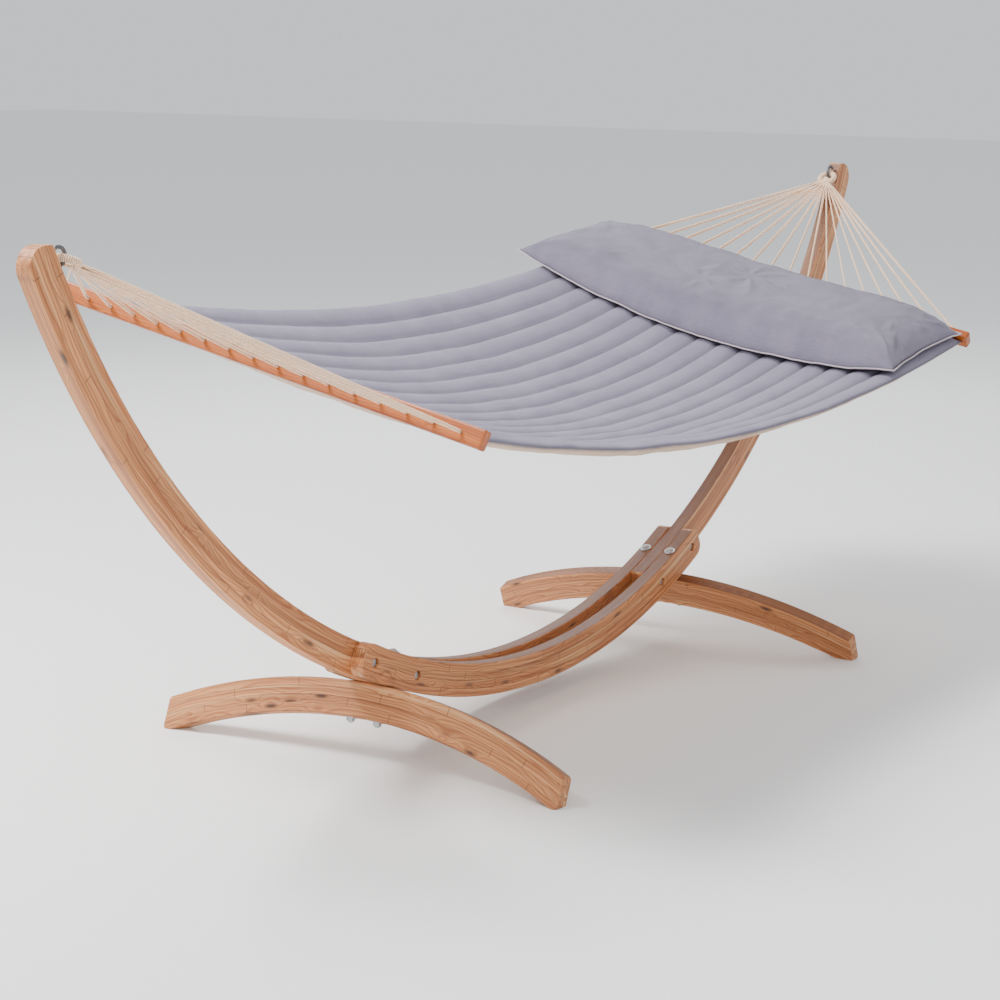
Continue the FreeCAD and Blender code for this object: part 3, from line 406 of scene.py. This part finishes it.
def metal(name, light, dark, roughness):
    """Zinc-plated steel with a crystalline bloom and fine scratches."""
    material, tree, shader = new_material(name, metallic=0.9)
    place = place_of(tree)
    bloom = node(tree, "ShaderNodeTexVoronoi", {"Vector": place, "Scale": 420.0}).outputs["Distance"]
    cloud = node(tree, "ShaderNodeTexNoise", {"Vector": place, "Scale": 160.0, "Detail": 4.0}).outputs["Fac"]
    scratch = stretched_noise(tree, place, (2200.0, 260.0, 2200.0), 2.0)
    colour = mix_colours(tree, ramp(tree, cloud, [(0.35, 0.0), (0.65, 1.0)]), dark, light)
    rough = maths(tree, "MULTIPLY_ADD", maths(tree, "ADD", bloom, scratch), 0.14, roughness)
    finish_material(tree, shader, colour, rough, maths(tree, "ADD", scratch, cloud), 0.00015)
    return material


def cord_material(name, light, dark, twist):
    """Twisted cord: slanting strands with fuzz, read along the cord's mostly level run."""
    material, tree, shader = new_material(name)
    shader.inputs["Sheen Weight"].default_value = 0.25
    place = place_of(tree)
    strands = node(tree, "ShaderNodeTexWave", {"Vector": place, "Scale": twist, "Distortion": 1.2, "Detail": 1.0,
                                               "Detail Scale": 4.0}, wave_type="BANDS", bands_direction="DIAGONAL",
                   wave_profile="SIN").outputs["Fac"]
    fuzz = node(tree, "ShaderNodeTexNoise", {"Vector": place, "Scale": 1400.0, "Detail": 3.0}).outputs["Fac"]
    tint = node(tree, "ShaderNodeTexNoise", {"Vector": place, "Scale": 14.0, "Detail": 2.0}).outputs["Fac"]
    colour = mix_colours(tree, ramp(tree, strands, [(0.1, 0.0), (0.5, 1.0)]), dark, light)
    colour = mix_colours(tree, 0.3, colour, ramp(tree, tint, [(0.3, 0.8), (0.7, 1.1)]), "MULTIPLY")
    rough = maths(tree, "MULTIPLY_ADD", fuzz, 0.2, 0.7)
    finish_material(tree, shader, colour, rough, maths(tree, "MULTIPLY_ADD", fuzz, 0.3, strands), 0.0004)
    return material


def quilt_material():
    """The bed's cloth: grey-lilac above, cream below, with painted shade in the stitched seams."""
    material, tree, shader = new_material("quilted_canvas")
    shader.inputs["Sheen Weight"].default_value = 0.18
    flat = node(tree, "ShaderNodeUVMap", uv_map="cloth").outputs[0]
    parts = node(tree, "ShaderNodeSeparateXYZ", {0: flat})
    channel = maths(tree, "MULTIPLY", parts.outputs["Y"], CHANNELS / BED_WIDTH)
    phase = maths(tree, "FRACT", maths(tree, "ADD", channel, 0.5))
    beside = maths(tree, "ABSOLUTE", maths(tree, "SUBTRACT", phase, 0.5))
    # seam: a band across each stitched seam; it darkens the colour below as painted shade and also sinks the bump.
    seam = ramp(tree, beside, [(0.0, 1.0), (0.03, 0.55), (0.13, 0.0)])
    stitch_phase = maths(tree, "FRACT", maths(tree, "DIVIDE", parts.outputs["X"], 0.008))
    dash = maths(tree, "LESS_THAN", stitch_phase, 0.62)
    thread = maths(tree, "MULTIPLY", maths(tree, "LESS_THAN", beside, 0.018), dash)
    above = grouped(tree, WEAVE, {"Flat": flat, "Thread": 0.0011, "Base": (0.290, 0.258, 0.350, 1),
                                  "Dark": (0.232, 0.205, 0.292, 1)})
    below = grouped(tree, WEAVE, {"Flat": flat, "Thread": 0.0011, "Base": (0.90, 0.66, 0.50, 1),
                                  "Dark": (0.78, 0.53, 0.38, 1)})
    side = node(tree, "ShaderNodeAttribute", attribute_name="underside").outputs["Fac"]
    colour = mix_colours(tree, side, above["Color"], below["Color"])
    # Painted shade: the colour is darkened towards (0.16, 0.14, 0.19) across each seam, where the channels' creases
    # would fall in shade.
    colour = mix_colours(tree, maths(tree, "MULTIPLY", seam, 0.7), colour, (0.16, 0.14, 0.19), "MULTIPLY")
    colour = mix_colours(tree, maths(tree, "MULTIPLY", thread, 0.35), colour, (0.30, 0.28, 0.34))
    height = maths(tree, "MULTIPLY_ADD", thread, 1.4, above["Height"])
    height = maths(tree, "SUBTRACT", height, maths(tree, "MULTIPLY", seam, 1.5))
    finish_material(tree, shader, colour, above["Roughness"], height, 0.0009)
    return material


def pillow_material(name, base, dark):
    """Soft canvas of the pillow, woven at the cloth's own scale."""
    material, tree, shader = new_material(name)
    shader.inputs["Sheen Weight"].default_value = 0.22
    flat = node(tree, "ShaderNodeUVMap", uv_map="cloth").outputs[0]
    weave = grouped(tree, WEAVE, {"Flat": flat, "Thread": 0.0011, "Base": base, "Dark": dark})
    wrinkle = stretched_noise(tree, place_of(tree), (26.0, 7.0, 20.0), 4.0, Distortion=0.8)
    height = maths(tree, "MULTIPLY_ADD", wrinkle, 3.0, weave["Height"])
    finish_material(tree, shader, weave["Color"], weave["Roughness"], height, 0.0012)
    return material


def arm_arc(end):
    """Centre of an arm's arc; it touches the rails' arc at the tangent angle."""
    step = RAIL_RADIUS - ARM_RADIUS
    return end * step * math.sin(ARM_TANGENT), RAIL_CENTRE[1] - step * math.cos(ARM_TANGENT)


def dress_frame(cord):
    """Gives every node that stays its own finish."""
    finishes = {}
    for seed, side in enumerate(("near", "far")):
        finishes[side + "_rail"] = bent_larch("larch_" + side + "_rail", *RAIL_CENTRE, RAIL_RADIUS, 3.1 * seed + 0.7)
    zinc = metal("zinc_plate", (0.56, 0.57, 0.60), (0.36, 0.37, 0.39), 0.3)
    dark_zinc = metal("dark_zinc", (0.20, 0.20, 0.21), (0.11, 0.11, 0.12), 0.38)
    for end, name in ENDS:
        finishes[name + "_arm"] = bent_larch("larch_" + name + "_arm", *arm_arc(end), ARM_RADIUS, 5.3 + 2 * end)
        top = Vector((end * BEAM_SEAT * math.sin(BEAM_ANGLE), 0.0,
                      RAIL_CENTRE[1] - BEAM_SEAT * math.cos(BEAM_ANGLE)))
        turn = Euler((0.0, end * BEAM_ANGLE, 0.0)).to_matrix()
        finishes[name + "_cross_beam"] = cross_beam_larch(
            "larch_" + name + "_beam", tuple(-(turn @ top)), end * BEAM_ANGLE, BEAM_RADIUS, 8.4 + end)
        finishes[name + "_spreader_bar"] = stained_wood("varnished_" + name + "_bar", 2.2 + end)
        finishes[name + "_hook"] = dark_zinc
        finishes[name + "_cords"] = cord
        for part in ("joint_bolts", "joint_washers", "joint_nuts", "base_bolts", "base_top_washers",
                     "base_lower_washers", "base_nuts"):
            finishes[name + "_" + part] = zinc
    for name, material in finishes.items():
        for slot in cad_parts[name].material_slots:
            slot.material = material


# ---------------------------------------------------------------- quilted bed

def bed_ends():
    """Where the hems meet the bars, in the level hammock's X and Z, and the bars' slopes."""
    return (-1.0963, 0.9746), (1.2908, 0.9238), (-math.radians(24.0), math.radians(38.4))


def bed_height(x, across):
    """Height of the quilt's middle layer, in the level hammock; across runs from -1 to 1."""
    (x0, z0), (x1, z1), _ = bed_ends()
    along = (2 * x - x0 - x1) / (x1 - x0)
    hang = 1 - along ** 2
    chord = z0 + (z1 - z0) * (x - x0) / (x1 - x0)
    return chord - BED_SAG * hang - BED_TROUGH * hang * (1 - across ** 2)


def bed_lean(x):
    """Slope of the quilt along its length, easing into the bars' slopes at the hems."""
    (x0, _), (x1, _), slopes = bed_ends()
    along = (2 * x - x0 - x1) / (x1 - x0)
    inside = min(max(x, x0 + 0.001), x1 - 0.001)
    curve = math.atan2(bed_height(inside + 0.001, 1) - bed_height(inside - 0.001, 1), 0.002)
    blend = along ** 4
    return curve * (1 - blend) + (slopes[0] if along < 0 else slopes[1]) * blend


def puff(across):
    """Height share of the filling across one channel: 0 in the seam, 1 on the crown."""
    phase = ((across + 1) / 2 * CHANNELS) % 1.0
    return max(math.sin(math.pi * phase), 0.0) ** 0.62


def quilt_point(x, across, side):
    """A point of the quilt's skin; side is 1 above and -1 below."""
    lean = bed_lean(x)
    (x0, _), (x1, _), _ = bed_ends()
    along = (2 * x - x0 - x1) / (x1 - x0)
    end_pinch = min(1.0, (1 - abs(along)) / 0.018 + 0.25)
    fullness = puff(across) * end_pinch
    channel = math.floor((across + 1) / 2 * CHANNELS - 1e-6)
    pucker = soft_noise(x * 14.0, channel * 3.7, side * 5.0)
    pull = soft_noise(x * 45.0, (across + 1) * CHANNELS * 1.6, 9.0 + side)
    roll = soft_noise(x * 3.0, channel * 1.9, 3.0)
    seam_share = 1 - puff(across)
    lift = 0.0010 + fullness * (0.0135 + 0.0022 * pucker + 0.0030 * roll)
    lift += 0.0014 * seam_share * pull * end_pinch
    lift += 0.0016 * soft_noise(x * 7.0, across * 6.0, 2.0 + side) * end_pinch
    distance = side * min(max(lift, 0.0008), BED_HALF + 0.004)
    edge_wave = 0.0035 * soft_noise(x * 5.0, across * 2.0, 4.0)
    place_x = x - distance * math.sin(lean)
    place_z = bed_height(x, across) + distance * math.cos(lean) + edge_wave * (1 - along ** 2)
    return level_point(place_x, across * BED_WIDTH / 2, place_z)


def make_bed(material):
    """Two quilted skins over the whole bed, closed round the edge by a bound hem."""
    (x0, _), (x1, _), _ = bed_ends()
    rows, columns = 300, CHANNELS * 8
    sheet = bmesh.new()
    bmesh.ops.create_grid(sheet, x_segments=rows, y_segments=columns, size=1.0)
    flat = sheet.loops.layers.uv.new("cloth")
    under = sheet.verts.layers.float.new("underside")
    place = {vert: (x0 + (vert.co.x + 1) / 2 * (x1 - x0), vert.co.y) for vert in sheet.verts}
    for face in sheet.faces:
        for loop in face.loops:
            x, across = place[loop.vert]
            loop[flat].uv = (x - x0, (across + 1) / 2 * BED_WIDTH)
    doubled = bmesh.ops.duplicate(sheet, geom=sheet.verts[:] + sheet.edges[:] + sheet.faces[:])
    bmesh.ops.reverse_faces(sheet, faces=[item for item in doubled["geom"] if isinstance(item, bmesh.types.BMFace)])
    lower = doubled["vert_map"]
    for vert, (x, across) in place.items():
        twin = lower[vert]
        vert.co = quilt_point(x, across, 1)
        twin.co = quilt_point(x, across, -1)
        twin[under] = 1.0
    rim = [edge for edge in sheet.edges if edge.is_boundary]
    bmesh.ops.bridge_loops(sheet, edges=rim)
    bmesh.ops.recalc_face_normals(sheet, faces=sheet.faces[:])
    mesh = bpy.data.meshes.new("quilted_bed")
    sheet.to_mesh(mesh)
    sheet.free()
    bed = add_object("quilted_bed", mesh, material)
    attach(bed, "hammock")
    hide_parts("bed")


# ---------------------------------------------------------------- pillow

PILLOW_MIDDLE = 1.067              # along the level hammock
PILLOW_HALF = Vector((0.205, 0.620))
PILLOW_CROWN = 0.114
PILLOW_SHIFT = 0.030
SEAM_LIFT = 0.016
SEAM_EDGE = 0.9999                 # share of the half width beyond which a point is in the seam
SEAM_BAND = 0.012                  # over which the swelling fades to nothing at the seam
SWELL_CAP = 0.010
SWELL_FRAMES = 20
SWELL_PRESSURE = 4.0
SKIN_STEPS = 6
FOLD_FANS = (                      # along, across, reach, number of folds and depth of each fan
    (0.02, -0.03, 0.15, 7, 0.0125), (-0.08, 0.08, 0.11, 6, 0.008),
    (-0.20, -0.62, 0.20, 15, 0.0090), (0.20, -0.62, 0.22, 17, 0.0095),
    (-0.20, 0.62, 0.20, 15, 0.0080), (0.20, 0.62, 0.20, 17, 0.0080))


def bed_top(x, across):
    """Height of the quilt's upper side, found by stepping to the middle layer's point under x."""
    lean = bed_lean(x)
    under = x
    for _ in range(SKIN_STEPS):
        under += x - (under - BED_HALF * math.sin(bed_lean(under)))
    return bed_height(under, across) + BED_HALF * math.cos(lean)


def pillow_point(u, v, side):
    """A point of the pillow; u runs along it, v across it, and both panels meet in the seam."""
    ease = (1 - u * u) * 0.010, (1 - v * v) * 0.024
    x = PILLOW_MIDDLE + v * (PILLOW_HALF.x - ease[0])
    y = u * (PILLOW_HALF.y - ease[1] - 0.004) + PILLOW_SHIFT
    rest = bed_top(x, y / (BED_WIDTH / 2)) + 0.002
    seam_lift = SEAM_LIFT + 0.0045 * soft_noise(u * 6.0, v * 2.0, 21.0)
    seam_lift += 0.0015 * soft_noise(u * 21.0, v * 7.0, 22.0)
    across = max(1 - v ** 4, 0.0) ** 0.5
    along = max(1 - abs(u) ** 7, 0.0) ** 0.6
    full = across * along
    if side < 0:
        return level_point(x, y, rest + seam_lift * (1 - min(full * 1.5, 1.0)))
    arch = 1 - 0.10 * v
    return level_point(x, y, rest + seam_lift + (PILLOW_CROWN * arch - 0.006) * full)


def crease(u, v):
    """Depth of the folds drawn into the upper panel: a fan at its middle and gathers at the corners."""
    x, y = v * PILLOW_HALF.x, u * PILLOW_HALF.y
    depth = 0.0
    for focus_x, focus_y, reach, folds, size in FOLD_FANS:
        far = math.hypot(x - focus_x, y - focus_y)
        turn = math.atan2(y - focus_y, x - focus_x)
        wander = 1.3 * soft_noise(x * 12.0, y * 12.0, folds)
        fade = math.exp(-(far / reach) ** 2) * min(far / 0.03, 1.0)
        ridge = abs(math.sin(turn * folds / 2 + wander)) ** 0.7 - 0.55
        depth += size * fade * ridge
    return depth


def make_pillow(material, piping_material):
    """Two panels sewn round the edge, swollen by a cloth simulation, with a pale piping in the seam."""
    rows, columns = 150, 48
    panels = bmesh.new()
    bmesh.ops.create_grid(panels, x_segments=rows, y_segments=columns, size=1.0)
    flat = panels.loops.layers.uv.new("cloth")
    place = {vert: (vert.co.x, vert.co.y) for vert in panels.verts}
    for face in panels.faces:
        for loop in face.loops:
            u, v = place[loop.vert]
            loop[flat].uv = (u * PILLOW_HALF.y, v * PILLOW_HALF.x)
    doubled = bmesh.ops.duplicate(panels, geom=panels.verts[:] + panels.edges[:] + panels.faces[:])
    bmesh.ops.reverse_faces(panels, faces=[item for item in doubled["geom"] if isinstance(item, bmesh.types.BMFace)])
    lower = doubled["vert_map"]
    shares = {}
    for vert, (u, v) in place.items():
        twin = lower[vert]
        shares[vert], shares[twin] = (u, v, 1), (u, v, -1)
        vert.co = pillow_point(u, v, 1)
        twin.co = pillow_point(u, v, -1)
    bmesh.ops.remove_doubles(panels, verts=panels.verts[:], dist=0.0004)
    panels.verts.index_update()
    details = [shares[vert] for vert in panels.verts]
    bmesh.ops.recalc_face_normals(panels, faces=panels.faces[:])
    mesh = bpy.data.meshes.new("long_pillow")
    panels.to_mesh(mesh)
    panels.free()
    pillow = add_object("long_pillow", mesh, material)
    rest = [vert.co.copy() for vert in pillow.data.vertices]
    swell(pillow)
    shape_pillow(pillow, rest, details)
    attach(pillow, "pillow")
    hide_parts("pillow")
    seam = sorted((seam_station(u, v), index) for index, (u, v, _) in enumerate(details)
                  if max(abs(u), abs(v)) > SEAM_EDGE)
    line = [pillow.data.vertices[index].co.copy() for _, index in seam]
    smooth = pillow.modifiers.new("smooth", "SUBSURF")
    smooth.levels = 1
    smooth.render_levels = 1
    piping = swept("pillow_piping", [line], 0.0024, piping_material, closed=True)
    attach(piping, "pillow")


def seam_station(u, v):
    """How far round the seam a point of it lies, from 0 to 4."""
    if v < -SEAM_EDGE:
        return (u + 1) / 2
    if u > SEAM_EDGE:
        return 1 + (v + 1) / 2
    if v > SEAM_EDGE:
        return 2 + (1 - u) / 2
    return 3 + (1 - v) / 2


def swell(pillow):
    """Blows the sewn panels up with the Cloth modifier and keeps the result."""
    cloth = pillow.modifiers.new("swell", "CLOTH")
    cloth.settings.use_pressure = True
    cloth.settings.uniform_pressure_force = SWELL_PRESSURE
    cloth.settings.effector_weights.gravity = 0.0
    cloth.settings.quality = 5
    cloth.point_cache.frame_start = 1
    cloth.point_cache.frame_end = SWELL_FRAMES
    for number in range(1, SWELL_FRAMES + 1):
        bpy.context.scene.frame_set(number)
    apply_modifiers(pillow)
    bpy.context.scene.frame_set(1)


def apply_modifiers(obj):
    """Bakes an object's modifiers into its mesh."""
    graph = bpy.context.evaluated_depsgraph_get()
    baked = bpy.data.meshes.new_from_object(obj.evaluated_get(graph))
    obj.modifiers.clear()
    obj.data = baked


def shape_pillow(pillow, rest, details):
    """Caps the swelling, keeps the underside on the bed and draws the folds in."""
    up = tilted(Vector((0, 0, 1)))
    mesh = pillow.data
    mesh.update()
    normals = [vert.normal.copy() for vert in mesh.vertices]
    for vert, start, normal, (u, v, side) in zip(mesh.vertices, rest, normals, details):
        move = vert.co - start
        if move.length > SWELL_CAP:
            move *= SWELL_CAP / move.length
        if side < 0:
            move -= up * min(move.dot(up), 0.0)
        inset = min((1 - abs(v)) * PILLOW_HALF.x, (1 - abs(u)) * PILLOW_HALF.y)
        if inset < SEAM_BAND:
            move *= max(inset, 0.0) / SEAM_BAND
        pucker = 0.0030 * math.exp(-inset / 0.022) * soft_noise(u * 42.0, v * 13.0, 12.0) * min(inset / 0.006, 1.0)
        if side < 0:
            depth = pucker * 0.5
        else:
            lump = 0.0055 * soft_noise(u * 4.5, v * 1.6, 1.0) + 0.002 * soft_noise(u * 14.0, v * 4.0, 6.0)
            depth = (lump + crease(u, v)) * min(inset / 0.03, 1.0) + pucker
        vert.co = start + move + normal * depth
    mesh.polygons.foreach_set("use_smooth", [True] * len(mesh.polygons))


# ---------------------------------------------------------------- rope eyes

WINDING = 0.0017                   # radius of the whipping cord
WINDING_TURNS = 40
STEPS_PER_TURN = 14
STRAND = 0.0019                    # radius of a cord in the neck
TIE = 0.0018                       # radius, turns, rise of each turn and steps of the binding round the neck
TIE_TURNS = 6
TIE_RISE = 0.0030
TIE_STEPS = 16
BAR_REACH = 0.021                  # from a bar's middle to where its cords straighten


def hanging(end):
    """Hook centre, directions and apex of the fan of cords at one end."""
    centre_x, centre_z = arm_arc(end)
    turn = end * HOOK_ANGLE
    outward = Vector((math.sin(turn), 0.0, -math.cos(turn)))
    normal = -outward
    rise = Vector((end * normal.z, 0.0, -end * normal.x))
    face = Vector((centre_x, 0.0, centre_z)) + outward * ARM_RADIUS
    hook = face + normal * HOOK_STAND_OFF + rise * HOOK_BEND
    reach, height = BAR_PLACES[end]
    bar = level_point(end * reach, 0.0, height)
    pull = (bar - hook).normalized()
    across = tilted(Vector((0, 1, 0)))
    hang = Vector((pull.x, 0.0, pull.z)).normalized()
    bight = hook + hang * (HOOK_BEND - HOOK_WIRE - EYE_ROPE - EYE_GAP)
    apex = bight + pull * (2 * EYE_RADIUS - EYE_ROPE)
    fan = pull.cross(across).normalized()
    if fan.z < 0:
        fan = -fan
    ahead = across.cross(fan).normalized()
    if ahead.dot(pull) < 0:
        ahead = -ahead
    return {"pull": pull, "hang": hang, "across": across, "bight": bight, "apex": apex,
            "fan": fan, "ahead": ahead, "bar": bar}


def wound(centre, first, second, ring_radius, rope_radius, turns):
    """Points of a cord wound round a ring-shaped core."""
    axis = first.cross(second)
    steps = turns * STEPS_PER_TURN
    points = []
    for step in range(steps + 1):
        share = step / steps
        round_ring = 2 * math.pi * share
        outward = first * math.cos(round_ring) + second * math.sin(round_ring)
        round_core = 2 * math.pi * turns * share
        points.append(centre + outward * (ring_radius + rope_radius * math.cos(round_core))
                      + axis * rope_radius * math.sin(round_core))
    return points


def make_rope_eye(end, name, cord):
    """The whipped loop over the hook, its bound neck and the cords that spread from it."""
    place = hanging(end)
    pull, across, fan = place["pull"], place["across"], place["fan"]
    hang, level = place["hang"], Vector((0, 1, 0))
    centre = place["bight"] + hang * EYE_RADIUS
    whipping = wound(centre, hang, level, EYE_RADIUS, EYE_ROPE - WINDING - 0.0002, WINDING_TURNS)
    loop = swept(name + "_rope_eye_whipping", [whipping[:-1]], WINDING, cord, closed=True)
    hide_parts(name + "_rope_eye")
    core = wound(centre, hang, level, EYE_RADIUS, 0.0, 4)
    heart = swept(name + "_rope_eye_core", [core[:-1]], EYE_ROPE - 2 * WINDING, cord, closed=True)

    strands = []
    half_row = HOLE_ROW / 2
    for index in range(CORD_HOLES):
        hole = place["bar"] + across * (-half_row + HOLE_ROW * index / (CORD_HOLES - 1))
        mouth = hole - place["ahead"] * BAR_REACH
        away = (mouth - place["apex"]).normalized()
        away = (away - fan * away.dot(fan)).normalized()
        stagger = 0.0023 if index % 2 == 0 else -0.0023
        for layer in (1, -1):
            start = place["apex"] + away * (THROAT + 0.0005) + fan * (layer * 0.0046 + stagger)
            side = (index - (CORD_HOLES - 1) / 2) / (CORD_HOLES - 1)
            gathered = place["apex"] + pull * 0.006 + across * side * 0.012 + fan * layer * 0.0042
            middle = start.lerp(gathered, 0.55) + pull * 0.003 * (1 - abs(side))
            strands.append([start, middle, gathered, gathered - pull * 0.014])
    neck = swept(name + "_neck_cords", strands, STRAND, cord)

    tie = []
    for step in range(TIE_TURNS * TIE_STEPS + 1):
        turn = 2 * math.pi * step / TIE_STEPS
        along = place["apex"] - pull * 0.007 + pull * TIE_RISE * step / TIE_STEPS
        tie.append(along + across * math.cos(turn) * 0.0105 + fan * math.sin(turn) * 0.0085)
    binding = swept(name + "_neck_tie", [tie], TIE, cord)
    for piece in (loop, heart, neck, binding):
        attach(piece, "hammock")


# ---------------------------------------------------------------- stage, light and camera

def make_stage():
    """Pale floor, soft studio light and the camera."""
    bpy.ops.mesh.primitive_plane_add(size=60.0, location=(0, 0, -0.0005))
    floor = bpy.context.object
    floor.name = "floor"
    material, tree, shader = new_material("pale_floor")
    speckle = node(tree, "ShaderNodeTexNoise", {"Vector": place_of(tree), "Scale": 30.0}).outputs["Fac"]
    colour = mix_colours(tree, speckle, (0.85, 0.85, 0.84), (0.88, 0.88, 0.87))
    rough = maths(tree, "MULTIPLY_ADD", speckle, 0.1, 0.8)
    finish_material(tree, shader, colour, rough, speckle, 0.0002)
    floor.data.materials.append(material)

    world = bpy.data.worlds.new("studio")
    bpy.context.scene.world = world
    world.use_nodes = True
    world.node_tree.nodes["Background"].inputs["Color"].default_value = (0.93, 0.96, 1.0, 1.0)
    world.node_tree.nodes["Background"].inputs["Strength"].default_value = 0.9
    for name, place, aim, size, power in (("key", (-2.5, 2.5, 5.5), (0, 0, 0.6), 2.2, 680),
                                          ("fill", (-5.0, -4.0, 3.0), (0, 0, 0.5), 4.0, 130),
                                          ("rim", (4.5, 3.0, 4.0), (0.5, 0, 0.6), 2.5, 150)):
        light = bpy.data.lights.new(name, "AREA")
        light.size = size
        light.energy = power
        lamp = bpy.data.objects.new(name, light)
        bpy.context.scene.collection.objects.link(lamp)
        lamp.location = place
        lamp.rotation_euler = (Vector(aim) - Vector(place)).to_track_quat("-Z", "Y").to_euler()

    camera = bpy.data.cameras.new("camera")
    camera.lens = CAMERA_LENS
    camera.sensor_width = 36.0
    camera.clip_end = 100.0
    eye = bpy.data.objects.new("camera", camera)
    bpy.context.scene.collection.objects.link(eye)
    yaw, pitch, roll = (math.radians(angle) for angle in CAMERA_ANGLES)
    ahead = Vector((math.cos(yaw) * math.cos(pitch), math.sin(yaw) * math.cos(pitch), math.sin(pitch)))
    right = Vector((math.sin(yaw), -math.cos(yaw), 0.0))
    above = right.cross(ahead)
    side = right * math.cos(roll) + above * math.sin(roll)
    top = above * math.cos(roll) - right * math.sin(roll)
    eye.matrix_world = Matrix((side, top, -ahead)).transposed().to_4x4()
    eye.location = CAMERA_PLACE
    bpy.context.scene.camera = eye


make_stage()
cream_cord = cord_material("cream_cord", (0.96, 0.69, 0.48), (0.80, 0.50, 0.31), 210.0)
dress_frame(cream_cord)
make_bed(quilt_material())
make_pillow(pillow_material("pillow_canvas", (0.250, 0.223, 0.300, 1), (0.188, 0.165, 0.235, 1)),
            cord_material("pillow_piping", (0.52, 0.44, 0.46), (0.34, 0.28, 0.32), 160.0))
for end, name in ENDS:
    make_rope_eye(end, name, cream_cord)
